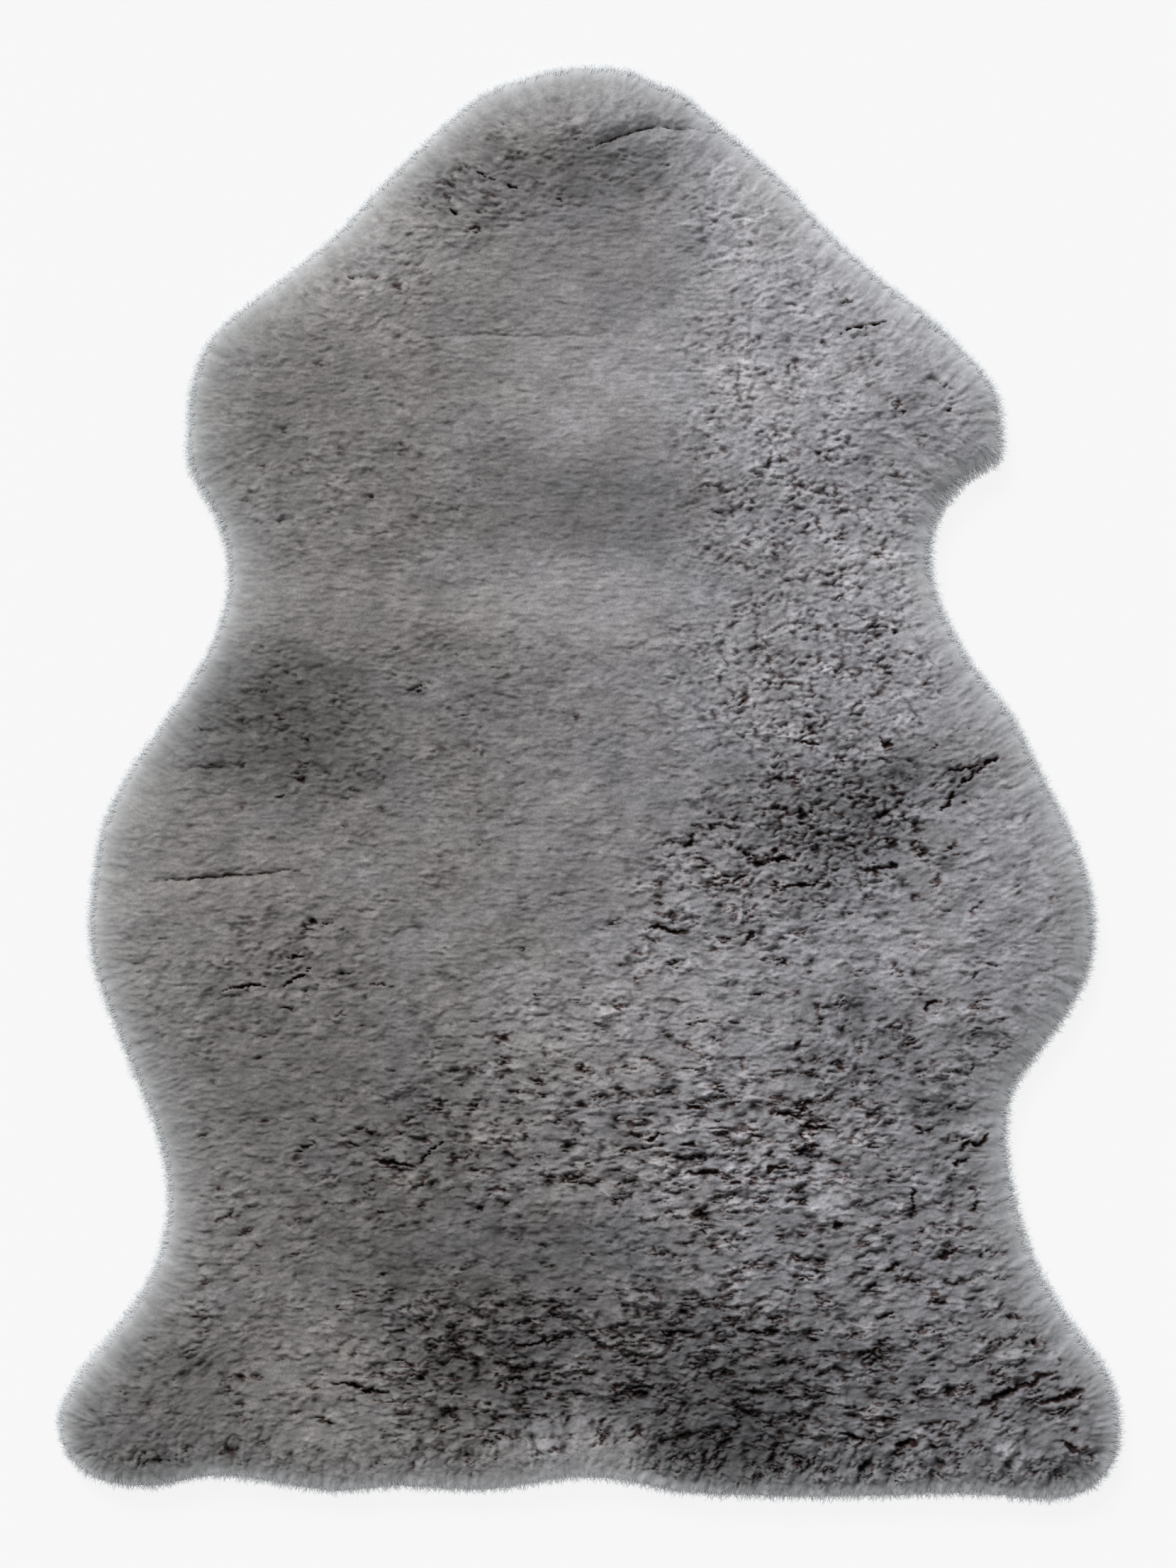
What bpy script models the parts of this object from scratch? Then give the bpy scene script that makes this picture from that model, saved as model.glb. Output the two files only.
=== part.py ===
"""A sheepskin rug: one tanned hide with its clipped wool on, lying flat, wool side up.

The rug is one closed solid. Its underside is the flat hide, its top is the lumpy surface
of the standing wool, and wool locks stick out all round its rim.

Frame, in metres: the origin is on the floor under the middle of the rug, +X points to the
right-hand haunch, +Y to the neck end and +Z up. The tables are in millimetres.
"""

import math

import bmesh
import bpy
from mathutils import Vector, geometry, noise

MM = 0.001
CURVE_STEPS = 10           # points worked out between two of the outline's own
SHRINK_STEP = 0.002        # longest step by which a ring is moved inwards
RELAXATION = 0.2           # weight of each neighbour when a moved ring is relaxed
MERGE_LIMIT = 1e-7         # points nearer than this count as one

# ---------------------------------------------------------------- driving sizes

WOOL_HEIGHT = 0.034        # floor to wool tips, away from the rim and the lumps
ROUNDING = 0.044           # width of the band in which the wool rounds over to the rim
ROUNDING_POWER = 2.2       # 2 is a quarter of an ellipse, more is squarer

RIM_SEGMENTS = 240         # one lock to each
BODY_INSET = 0.008         # locks' tips to the fleece's fullest line
FULLEST_HEIGHT = 0.010     # height of that line over the floor
SHOULDER_INSET = 0.013     # locks' tips to the line where the lumpy top begins
TUCK_INSET = 0.012         # locks' tips to the wool's lowest line
TUCK_HEIGHT = 0.003
SOLE_INSET = 0.022         # locks' tips to the edge of the flat hide

LOCK_LENGTH = 0.0105
LOCK_LENGTH_SPREAD = 0.0060  # most that a lock is longer or shorter, at full noise
LOCK_WAIST = 0.70          # a lock's width half way out, over its width at the root
LOCK_LEAN = 0.80           # sideways lean of a lock, over its length
LOCK_DROOP = 0.16          # fall of a lock's tip, over its length
LOCK_SAG = 0.3             # share of that fall reached half way out
LOCK_CLUMPS = 0.36         # how fast lean and length change from lock to lock
LEAN_ROW = 40.0            # noise row that gives the lean, away from the length's row

TOP_PITCH = 0.0152         # spacing of the points on the top
SOLE_PITCH = 0.060         # spacing of the points on the flat underside
RING_MARGIN = 0.62         # bare ground inside a filled ring, over the pitch
GRID_REACH = 0.5           # the grids of points run from -0.5 m to 0.5 m
UNEVENNESS = 0.0024        # small swell of the wool between the lumps
UNEVENNESS_SIZE = 0.040

CREASE_STEP = 0.011        # spacing of the points along a crease
CREASE_CLEARANCE = 0.0085  # bare ground kept round a crease's own points
CREASE_END_DEPTH = 0.12    # where on a half sine wave a crease starts and ends

WOOL_GREY = (0.175, 0.170, 0.176, 1.0)

# ---------------------------------------------------------------- the hide's outline

# Where the wool ends on each side, at stations down the length.
SECTIONS = (
    # along, left, right
    (466, -48, 41),       # crown
    (457, -71, 62),
    (439, -94, 84),
    (402, -133, 126),     # neck
    (364, -169, 161),
    (334, -205, 195),
    (308, -239, 228),     # shoulders
    (289, -255, 247),
    (261, -265, 270),
    (233, -267, 275),
    (213, -267, 273),
    (195, -260, 249),     # armpits
    (174, -248, 233),
    (148, -241, 228),     # waist
    (120, -242, 234),
    (82, -257, 254),      # flanks
    (45, -281, 282),
    (7, -307, 301),
    (-30, -324, 320),
    (-68, -330, 333),     # haunches
    (-96, -332, 336),
    (-124, -328, 332),
    (-152, -318, 318),
    (-180, -307, 298),
    (-204, -297, 282),
    (-232, -287, 278),
    (-274, -280, 284),    # thighs
    (-312, -287, 296),
    (-349, -308, 317),
    (-387, -338, 344),    # hind feet
    (-415, -352, 352),
    (-443, -347, 351),
)

TAIL_EDGE = (
    # across, along
    (336, -465),
    (309, -475),
    (253, -472),
    (159, -474),
    (65, -471),
    (0, -461),            # root of the tail
    (-66, -469),
    (-128, -467),
    (-168, -470),
    (-245, -460),
    (-291, -467),
    (-328, -460),
)

CROWN_EDGE = (
    # across, along
    (-28, 472),
    (0, 475),
    (29, 472),
)

# ---------------------------------------------------------------- the wool's surface

# Swells (rise above 0) and hollows (below 0) of the wool.
LUMPS = (
    # name, across, along, radius, rise
    ("crown_tuft", 22, 446, 34, 4.0),
    ("left_shoulder", -222, 258, 62, 3.0),
    ("right_shoulder", 226, 240, 58, 3.5),
    ("neck_hollow", 8, 372, 60, -2.5),
    ("middle_of_back", 2, 250, 110, 1.5),
    ("left_flank_hollow", -232, 44, 72, -3.0),
    ("left_haunch", -262, -104, 66, 3.5),
    ("right_haunch", 270, -72, 60, 4.0),
    ("right_haunch_pit", 176, -47, 52, -4.0),
    ("right_flank_tufts", 244, 28, 46, 3.0),
    ("right_thigh_hollow", 174, -150, 36, -3.0),
    ("right_thigh_clumps", 222, -176, 40, 3.0),
    ("right_rump_tuft", 160, -283, 36, 3.0),
    ("tail_ridge", -11, -431, 36, 3.5),
    ("tail_hollow_right", 87, -408, 66, -3.0),
    ("tail_swell_left", -183, -389, 46, 2.5),
    ("right_foot", 321, -424, 40, 2.5),
    ("left_foot", -302, -416, 46, 2.5),
)

# Partings and folds of the wool: soft troughs from one end to the other.
CREASES = (
    # name, across and along at the start, across and along at the end, half width, depth
    ("crown_fold_rising", -6, 411, 38, 430, 7.0, 6.0),
    ("crown_fold_level", 42, 430, 88, 427, 7.0, 6.5),
    ("right_shoulder_nick", 156, 292, 200, 304, 6.0, 4.5),
    ("left_flank_parting", -274, 8, -218, 12, 6.0, 4.0),
    ("left_haunch_parting", -294, -64, -186, -56, 7.0, 6.5),
    ("left_haunch_low_parting", -242, -134, -186, -127, 6.0, 4.0),
    ("right_haunch_sweep", 232, -21, 274, 20, 7.0, 5.0),
    ("right_haunch_split", 121, -70, 154, -64, 6.0, 4.5),
    ("middle_fold", -142, -248, -112, -251, 6.0, 4.0),
    ("middle_fold_rising", -108, -247, -84, -226, 6.0, 4.0),
    ("left_tail_fold", -172, -391, -126, -403, 6.0, 4.5),
    ("tail_fold", -56, -370, -14, -365, 6.0, 4.0),
    ("right_foot_upper_fold", 260, -401, 316, -382, 7.0, 7.0),
    ("right_foot_corner_fold", 299, -427, 322, -446, 6.5, 5.5),
    ("right_tail_fold", 170, -428, 226, -434, 6.5, 5.0),
)


def clear_scene():
    """Remove whatever objects the file came with."""
    for found in list(bpy.data.objects):
        bpy.data.objects.remove(found, do_unlink=True)


def make_wool_material():
    """Grey wool: rough, with no metal in it."""
    material = bpy.data.materials.new("wool")
    material.use_nodes = True
    shader = material.node_tree.nodes["Principled BSDF"]
    shader.inputs["Base Color"].default_value = WOOL_GREY
    shader.inputs["Roughness"].default_value = 0.9
    shader.inputs["Metallic"].default_value = 0.0
    return material


# ---------------------------------------------------------------- closed curves

def outline_knots():
    """The outline's own points, clockwise from the right of the crown."""
    right = [Vector((row[2], row[0])) for row in SECTIONS]
    left = [Vector((row[1], row[0])) for row in reversed(SECTIONS)]
    tail = [Vector(row) for row in TAIL_EDGE]
    crown = [Vector(row) for row in CROWN_EDGE]
    return [knot * MM for knot in right + tail + left + crown]


def curve_point(knots, index, share):
    """A point between two knots on a centripetal Catmull-Rom curve."""
    count = len(knots)
    p0, p1, p2, p3 = (knots[(index + k) % count] for k in (-1, 0, 1, 2))
    t1 = math.sqrt((p1 - p0).length)
    t2 = t1 + math.sqrt((p2 - p1).length)
    t3 = t2 + math.sqrt((p3 - p2).length)
    t = t1 + (t2 - t1) * share
    a1 = p0.lerp(p1, t / t1)
    a2 = p1.lerp(p2, (t - t1) / (t2 - t1))
    a3 = p2.lerp(p3, (t - t2) / (t3 - t2))
    b1 = a1.lerp(a2, t / t2)
    b2 = a2.lerp(a3, (t - t1) / (t3 - t1))
    return b1.lerp(b2, (t - t1) / (t2 - t1))


def even_ring(points, count):
    """The same closed line, with its points evenly spaced."""
    lengths = [0.0]
    for here, after in zip(points, points[1:] + points[:1]):
        lengths.append(lengths[-1] + (after - here).length)
    ring = []
    step = 0
    for number in range(count):
        wanted = lengths[-1] * number / count
        while lengths[step + 1] < wanted:
            step += 1
        share = (wanted - lengths[step]) / (lengths[step + 1] - lengths[step])
        after = points[(step + 1) % len(points)]
        ring.append(points[step].lerp(after, share))
    return ring


def outline_ring():
    """The line that the locks' tips reach, evenly divided."""
    knots = outline_knots()
    fine = []
    for index in range(len(knots)):
        fine += [curve_point(knots, index, k / CURVE_STEPS) for k in range(CURVE_STEPS)]
    return even_ring(fine, RIM_SEGMENTS)


def inward(ring, index):
    """Unit vector into a clockwise ring at one of its points."""
    along = ring[(index + 1) % len(ring)] - ring[index - 1]
    return Vector((along.y, -along.x)).normalized()


def shrink_ring(ring, distance):
    """Move a ring inwards in small steps, relaxed so that tight bends don't fold over."""
    steps = max(1, round(distance / SHRINK_STEP))
    own = 1.0 - 2.0 * RELAXATION
    for _ in range(steps):
        moved = [point + inward(ring, i) * (distance / steps) for i, point in enumerate(ring)]
        ring = [
            moved[i] * own + (moved[i - 1] + moved[(i + 1) % len(moved)]) * RELAXATION
            for i in range(len(moved))
        ]
    return ring


# ---------------------------------------------------------------- the wool's height

def distance_to_segment(point, start, end):
    """Distance from a point to a straight piece, and how far along it that is."""
    along = end - start
    share = (point - start).dot(along) / along.length_squared
    share = min(1.0, max(0.0, share))
    return (point - start - along * share).length, share


def distance_to_ring(point, ring):
    """Distance from a point to a closed line."""
    pairs = zip(ring, ring[1:] + ring[:1])
    return min(distance_to_segment(point, here, after)[0] for here, after in pairs)


def rounding_over(inset):
    """Height of the wool at a distance inside the locks' tips, before its lumps."""
    share = min(1.0, max(0.0, (inset - BODY_INSET) / ROUNDING))
    rise = (1.0 - (1.0 - share) ** ROUNDING_POWER) ** (1.0 / ROUNDING_POWER)
    return FULLEST_HEIGHT + (WOOL_HEIGHT - FULLEST_HEIGHT) * rise


def lump_rise(point):
    """Sum of the swells and hollows at a point."""
    total = 0.0
    for _, across, along, radius, rise in LUMPS:
        offset = point - Vector((across, along)) * MM
        share = offset.length_squared / (radius * MM) ** 2
        if share < 1.0:
            total += rise * MM * (1.0 - share) ** 2
    return total


def crease_depth(point):
    """How deep the creases cut at a point: deepest along their middles, nothing at the ends."""
    deepest = 0.0
    for _, x0, y0, x1, y1, half_width, depth in CREASES:
        gap, share = distance_to_segment(point, Vector((x0, y0)) * MM, Vector((x1, y1)) * MM)
        side = gap / (half_width * MM)
        if side < 1.0:
            place = CREASE_END_DEPTH + (1.0 - 2.0 * CREASE_END_DEPTH) * share
            ends = math.sin(math.pi * place)
            deepest = max(deepest, depth * MM * ends * (1.0 - side * side))
    return deepest


def top_height(point, inset):
    """Height of the wool's surface over the floor."""
    fullness = min(1.0, inset / ROUNDING)
    swell = noise.noise(Vector((point.x, point.y, 0.0)) / UNEVENNESS_SIZE) * UNEVENNESS
    return rounding_over(inset) + (lump_rise(point) + swell) * fullness - crease_depth(point)


# ---------------------------------------------------------------- points on the top

def crease_points():
    """Three rows of points along each crease: its floor and its two banks."""
    rows = []
    for _, x0, y0, x1, y1, half_width, _ in CREASES:
        start = Vector((x0, y0)) * MM
        run = Vector((x1, y1)) * MM - start
        across = Vector((-run.y, run.x)).normalized() * half_width * MM
        count = max(2, round(run.length / CREASE_STEP))
        for side in (-1, 0, 1):
            rows += [start + run * (k / count) + across * side for k in range(count + 1)]
    return rows


def triangular_grid(pitch):
    """Points on a grid of equal triangles over the whole rug."""
    row_pitch = pitch * math.sqrt(0.75)
    rows = round(2 * GRID_REACH / row_pitch)
    columns = round(2 * GRID_REACH / pitch)
    points = []
    for row in range(rows + 1):
        shift = 0.5 * (row % 2)
        for column in range(columns + 1):
            across = (column + shift) * pitch - GRID_REACH
            along = row * row_pitch - GRID_REACH
            points.append(Vector((across, along)))
    return points


def is_inside(point, ring):
    """Whether a point is inside a closed line."""
    inside = False
    for here, after in zip(ring, ring[1:] + ring[:1]):
        if (here.y > point.y) != (after.y > point.y):
            crossing = here.x + (after.x - here.x) * (point.y - here.y) / (after.y - here.y)
            if point.x < crossing:
                inside = not inside
    return inside


def fill_ring(ring, loose_points, pitch):
    """Triangulate a ring's inside through the loose points and an even grid."""
    margin = pitch * RING_MARGIN
    filling = [p for p in loose_points if distance_to_ring(p, ring) > margin * 0.5]
    for point in triangular_grid(pitch):
        if not is_inside(point, ring) or distance_to_ring(point, ring) < margin:
            continue
        if all((point - other).length > CREASE_CLEARANCE for other in loose_points):
            filling.append(point)
    border = [list(range(len(ring)))[::-1]]
    inside_only = 1
    found = geometry.delaunay_2d_cdt(ring + filling, [], border, inside_only, MERGE_LIMIT)
    return found[0], found[2]


# ---------------------------------------------------------------- the solid

def add_ring(mesh, ring, height):
    """Add a ring of vertices at one height."""
    return [mesh.verts.new((point.x, point.y, height)) for point in ring]


def add_band(mesh, upper, lower):
    """Join two rings with four-sided faces that point outwards."""
    faces = []
    for i in range(len(upper)):
        after = (i + 1) % len(upper)
        faces.append(mesh.faces.new((upper[i], upper[after], lower[after], lower[i])))
    return faces


def add_filling(mesh, ring_verts, points, triangles, height_at, facing_up):
    """Add a triangulated inside, whose first points are the ring's own vertices."""
    verts = list(ring_verts)
    for point in points[len(ring_verts):]:
        verts.append(mesh.verts.new((point.x, point.y, height_at(point))))
    for triangle in triangles:
        corners = [verts[i] for i in triangle]
        a, b, c = (corner.co.xy for corner in corners)
        turns_left = (b - a).cross(c - a) > 0.0
        if turns_left != facing_up:
            corners.reverse()
        mesh.faces.new(corners)


def add_lock(mesh, face, index, outward):
    """Draw one rim face out into a tapered lock with a leaning, drooping tip."""
    place = Vector((index * LOCK_CLUMPS, 0.0, 0.0))
    length = LOCK_LENGTH + LOCK_LENGTH_SPREAD * noise.noise(place)
    lean = LOCK_LEAN * noise.noise(place + Vector((0.0, LEAN_ROW, 0.0)))
    sideways = Vector((-outward.y, outward.x, 0.0))
    reach = (outward + sideways * lean) * length
    waist = bmesh.ops.extrude_discrete_faces(mesh, faces=[face])["faces"][0]
    middle = waist.calc_center_median()
    half_way = reach * 0.5 - Vector((0.0, 0.0, LOCK_DROOP * length * LOCK_SAG))
    for vert in waist.verts:
        vert.co = middle + (vert.co - middle) * LOCK_WAIST + half_way
    tip = bmesh.ops.poke(mesh, faces=[waist])["verts"][0]
    tip.co = middle + reach - Vector((0.0, 0.0, LOCK_DROOP * length))


def centre_over_origin(mesh):
    """Move the solid so that its bounding box stands centred on the origin."""
    low = Vector([min(vert.co[axis] for vert in mesh.verts) for axis in range(3)])
    high = Vector([max(vert.co[axis] for vert in mesh.verts) for axis in range(3)])
    middle = (low + high) / 2
    bmesh.ops.translate(mesh, verts=mesh.verts, vec=(-middle.x, -middle.y, -low.z))


def make_sheepskin():
    """Build the rug: top, rounded rim with its locks, tucked-under wool and flat hide."""
    tips = outline_ring()
    shoulder = shrink_ring(tips, SHOULDER_INSET)
    fullest = shrink_ring(tips, BODY_INSET)
    tuck = shrink_ring(tips, TUCK_INSET)
    sole = shrink_ring(tips, SOLE_INSET)

    def height_at(point):
        return top_height(point, distance_to_ring(point, tips))

    mesh = bmesh.new()
    shoulder_verts = [mesh.verts.new((p.x, p.y, height_at(p))) for p in shoulder]
    fullest_verts = add_ring(mesh, fullest, FULLEST_HEIGHT)
    tuck_verts = add_ring(mesh, tuck, TUCK_HEIGHT)
    sole_verts = add_ring(mesh, sole, 0.0)

    top_points, top_triangles = fill_ring(shoulder, crease_points(), TOP_PITCH)
    add_filling(mesh, shoulder_verts, top_points, top_triangles, height_at, True)
    sole_points, sole_triangles = fill_ring(sole, [], SOLE_PITCH)
    add_filling(mesh, sole_verts, sole_points, sole_triangles, lambda point: 0.0, False)

    rim_faces = add_band(mesh, shoulder_verts, fullest_verts)
    add_band(mesh, fullest_verts, tuck_verts)
    add_band(mesh, tuck_verts, sole_verts)
    for index, face in enumerate(rim_faces):
        outward = -inward(fullest, index)
        add_lock(mesh, face, index, Vector((outward.x, outward.y, 0.0)))

    centre_over_origin(mesh)
    data = bpy.data.meshes.new("sheepskin")
    mesh.to_mesh(data)
    mesh.free()
    data.materials.append(make_wool_material())
    data.shade_smooth()
    rug = bpy.data.objects.new("sheepskin", data)
    bpy.context.scene.collection.objects.link(rug)
    return rug


clear_scene()
make_sheepskin()
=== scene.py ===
"""The looks of the sheepskin rug: its wool, its bare underside, the floor, light and camera.

The wool is one continuous surface of short, dense pile. Overlapping tufts make it uneven,
short clefts open between them along the way the wool is combed, and long partings cross
it. Round the rim the pile turns over to the floor and ends in loose pale fibres.

Frame, in metres: origin on the floor under the middle of the rug, +X to the right-hand
haunch, +Y to the neck end, +Z up. The tables are in millimetres.
"""

import math

import bpy
import numpy as np
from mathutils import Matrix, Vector, geometry, kdtree


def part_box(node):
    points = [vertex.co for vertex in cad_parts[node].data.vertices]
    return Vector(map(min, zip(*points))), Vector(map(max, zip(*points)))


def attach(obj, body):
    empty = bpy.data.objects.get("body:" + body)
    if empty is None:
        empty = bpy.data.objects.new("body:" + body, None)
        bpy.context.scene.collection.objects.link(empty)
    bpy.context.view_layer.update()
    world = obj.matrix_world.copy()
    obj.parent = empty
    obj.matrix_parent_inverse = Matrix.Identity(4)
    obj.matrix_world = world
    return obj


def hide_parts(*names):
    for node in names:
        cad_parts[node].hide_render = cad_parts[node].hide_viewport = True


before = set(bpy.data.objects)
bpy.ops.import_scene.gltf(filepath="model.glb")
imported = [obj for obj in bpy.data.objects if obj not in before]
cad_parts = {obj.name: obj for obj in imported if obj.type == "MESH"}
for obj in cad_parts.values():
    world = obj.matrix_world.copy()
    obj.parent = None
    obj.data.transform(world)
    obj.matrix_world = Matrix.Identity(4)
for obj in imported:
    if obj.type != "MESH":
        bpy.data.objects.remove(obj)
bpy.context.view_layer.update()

MM = 0.001
TABLE = 512                # random values are kept in tables of this many rows and columns
TABLE_ORIGIN = 0.55        # metres by which every lattice starts left of and below the rug

# ---------------- the pile's main sizes

WOOL_HEIGHT = 0.0335       # floor to wool tips, away from the rim and the lumps
ROUNDING = 0.044           # width of the band in which the wool rounds over to the rim
ROUNDING_POWER = 2.2
FULLEST_INSET = 0.0036     # loose tips to the dense wool's fullest line
FULLEST_HEIGHT = 0.010
SKIRT_INSET = 0.013        # loose tips to the line where the rim's own mesh begins
HIDE_INSET = 0.016         # loose tips to the edge of the hide
HIDE_THICKNESS = 0.0018

RING_POINTS = 2000         # points of the outline, and of each row of the rim
CURVE_STEPS = 12           # points worked out between two of the outline's own
SHRINK_STEP = 0.001        # longest step by which a ring is moved inwards
RELAXATION = 0.30          # weight of each neighbour when a moved ring is relaxed
RELAX_PASSES = 4
CHORD_REACH = 4            # points either side that give a moved ring its direction
SKIRT_STEP = 0.0019        # spacing of the rim's rows
SKIRT_SAMPLES = (200, 60)  # points worked out for its profile, over and then under
SKIRT_TURN = (1.8, 0.55)   # powers that shape its turn under: inwards and downwards

PITCH_ACROSS = 0.00155     # spacing of the fleece's points along the combing
PITCH_ALONG = 0.00085      # and across it
POINT_JITTER = 0.12        # most that a point is moved, over that spacing
JITTER_SEED = 140
SQUEEZE = 1.15             # how far apart the rows seem when the points are joined up
RIM_LIFT = 1.2             # how far the palest wool's shading is turned upwards
HIDE_POINTS = 500          # points of the hide's edge, and how its inner rings thin out
HIDE_THINNING = 40
HIDE_RINGS = (10, 24, 42, 66, 94, 130)     # their distances from the edge, in millimetres
FLAT_MAP = "OFBake"        # name of each piece's flat map
MAP_MARGIN = 0.02
FIBRE_MAP_SIZE = 0.7       # width of a fibre on it, over its cell
RIM_STRIPS = 8             # strips that the rim is cut into on it
MERGE_LIMIT = 1e-8         # points nearer than this count as one

BANDS = (
    # piece of the fleece's top, how far along the rug it begins, in millimetres
    ("fleece_neck", 188),
    ("fleece_back", -34),
    ("fleece_haunches", -242),
    ("fleece_tail", -500),
)

# ---------------- the hide's outline

SECTIONS = (
    # along, left, right
    (466, -48, 41),       # crown
    (457, -71, 62),
    (439, -94, 84),
    (402, -133, 126),     # neck
    (364, -169, 161),
    (334, -205, 195),
    (308, -239, 228),     # shoulders
    (289, -255, 247),
    (261, -265, 270),
    (233, -267, 275),
    (213, -267, 273),
    (195, -260, 249),     # armpits
    (174, -248, 233),
    (148, -241, 228),     # waist
    (120, -242, 234),
    (82, -257, 254),      # flanks
    (45, -281, 282),
    (7, -307, 301),
    (-30, -324, 320),
    (-68, -330, 333),     # haunches
    (-96, -332, 336),
    (-124, -328, 332),
    (-152, -318, 318),
    (-180, -307, 298),
    (-204, -297, 282),
    (-232, -287, 278),
    (-274, -280, 284),    # thighs
    (-312, -287, 296),
    (-349, -308, 317),
    (-387, -338, 344),    # hind feet
    (-415, -352, 352),
    (-443, -347, 351),
)

TAIL_EDGE = (
    # across, along
    (336, -465),
    (309, -475),
    (253, -472),
    (159, -474),
    (65, -471),
    (0, -461),            # root of the tail
    (-66, -469),
    (-128, -467),
    (-168, -470),
    (-245, -460),
    (-291, -467),
    (-328, -460),
)

CROWN_EDGE = (
    # across, along
    (-28, 472),
    (0, 475),
    (29, 472),
)

# ---------------- the wool's large shapes

LUMPS = (
    # name, across, along, radius, rise
    ("crown_tuft", 22, 446, 34, 4.0),
    ("left_shoulder", -222, 258, 62, 3.0),
    ("right_shoulder", 226, 240, 58, 3.5),
    ("neck_hollow", 8, 372, 60, -2.5),
    ("middle_of_back", 2, 250, 110, 1.5),
    ("left_flank_hollow", -232, 44, 72, -3.0),
    ("left_haunch", -262, -104, 66, 3.5),
    ("right_haunch", 270, -72, 60, 4.0),
    ("right_haunch_pit", 176, -47, 52, -4.0),
    ("right_flank_tufts", 244, 28, 46, 3.0),
    ("right_thigh_hollow", 174, -150, 36, -3.0),
    ("right_thigh_clumps", 222, -176, 40, 3.0),
    ("right_rump_tuft", 160, -283, 36, 3.0),
    ("tail_ridge", -11, -431, 36, 3.5),
    ("tail_hollow_right", 87, -408, 66, -3.0),
    ("tail_swell_left", -183, -389, 46, 2.5),
    ("right_foot", 321, -424, 40, 2.5),
    ("left_foot", -302, -416, 46, 2.5),
)

# Partings of the wool, each a line of points with a slit along its middle.
PARTINGS = (
    # name, points (across, along), half width of the trough, depth of it, depth of the slit
    ("crown_fold", ((-8, 411), (16, 423), (44, 431), (88, 428)), 8.0, 3.6, 4.4),
    ("neck_line", ((-146, 294), (-60, 293), (46, 294)), 5.0, 0.9, 1.2),
    ("left_wisp_high", ((-312, -97), (-301, -102), (-290, -108)), 3.4, 1.0, 1.0),
    ("left_wisp_low", ((-308, -117), (-295, -118), (-280, -114)), 3.4, 1.0, 1.2),
    ("left_flank_parting", ((-274, 8), (-246, 11), (-218, 12)), 4.0, 1.0, 2.2),
    ("left_haunch_parting", ((-298, -65), (-240, -61), (-180, -56)), 5.0, 1.8, 3.6),
    ("right_haunch_sweep", ((228, -24), (252, -2), (274, 20)), 9.0, 1.2, 0.6),
)
SLIT_HALF_WIDTH = 0.0012
PARTING_ENDS = (0.03, 0.97)  # where on a half sine wave a parting starts and ends
SLIT_LEFT = 0.25             # share of a slit's depth that is left where it is broken
SLIT_BREAKS = (-0.75, 0.25)
SLIT_FULL_SHADE_DEPTH = 0.0050      # depth at which a slit's painted shade is as dark as the deepest cleft's

# The deepest clefts, which show one by one.
DEEP_CLEFTS = (
    # across, along, length, width, degrees anticlockwise from across
    # neck
    (-68, 399, 15, 1.8, -28), (-52, 391, 12, 2.2, -22), (-89, 375, 11, 1.8, -20),
    # left haunch
    (-180, -90, 8, 2.2, 10), (-192, -113, 14, 1.8, -4), (-226, -133, 30, 2.2, 8),
    (-191, -127, 24, 2.4, 28),
    # right shoulder
    (178, 299, 40, 2.6, 14),
    # right flank
    (144, 27, 14, 2.4, 0), (195, 27, 11, 4.5, -35),
    # right haunch
    (236, -12, 20, 4.6, 54), (247, 3, 16, 3.6, 40), (262, 14, 20, 3.0, 34), (243, 9, 10, 4.0, 10),
    (138, -67, 34, 3.8, 7), (196, -55, 22, 4.0, 8),
    # clumps between the haunches
    (66, -38, 12, 4.0, 50), (98, -62, 14, 4.0, 20), (124, -50, 16, 3.4, 5),
    # middle
    (50, -96, 34, 3.4, -8), (105, -101, 11, 4.6, 60),
    # right thigh
    (223, -145, 11, 4.6, 50),
    # rump
    (163, -289, 11, 6.0, 40), (212, -274, 19, 3.0, 88), (254, -235, 26, 4.6, 25),
    (244, -248, 13, 3.6, 22), (130, -217, 27, 2.6, -3), (150, -225, 25, 3.0, -4),
    (44, -231, 17, 3.4, 12), (65, -236, 16, 3.4, -8), (27, -240, 13, 2.8, 2),
    (124, -252, 18, 3.4, 10), (76, -255, 27, 3.8, 4), (68, -212, 13, 2.8, 0),
    # low right
    (235, -308, 17, 3.6, 20), (198, -317, 13, 4.0, 30),
    # middle fold
    (-128, -249, 28, 5.4, -8), (-103, -241, 26, 2.4, 44),
    # tail
    (53, -361, 15, 3.0, -15), (109, -359, 30, 3.4, -4), (-149, -396, 46, 3.4, -12),
    (-36, -367, 38, 3.4, 6),
    # right foot
    (279, -397, 64, 6.6, 25), (309, -402, 38, 7.0, 14), (315, -435, 17, 6.0, -40),
    # right of the tail
    (174, -429, 19, 3.8, -15), (208, -432, 15, 5.6, 10),
)
DEEP_CLEFT_DEPTH = 0.0042
DEEP_CLEFT_SIDES = 1.5     # steepness of their sides
NECKS = (0.78, 0.48, 1.30) # their mean width, the least and the most, over the table's
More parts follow.
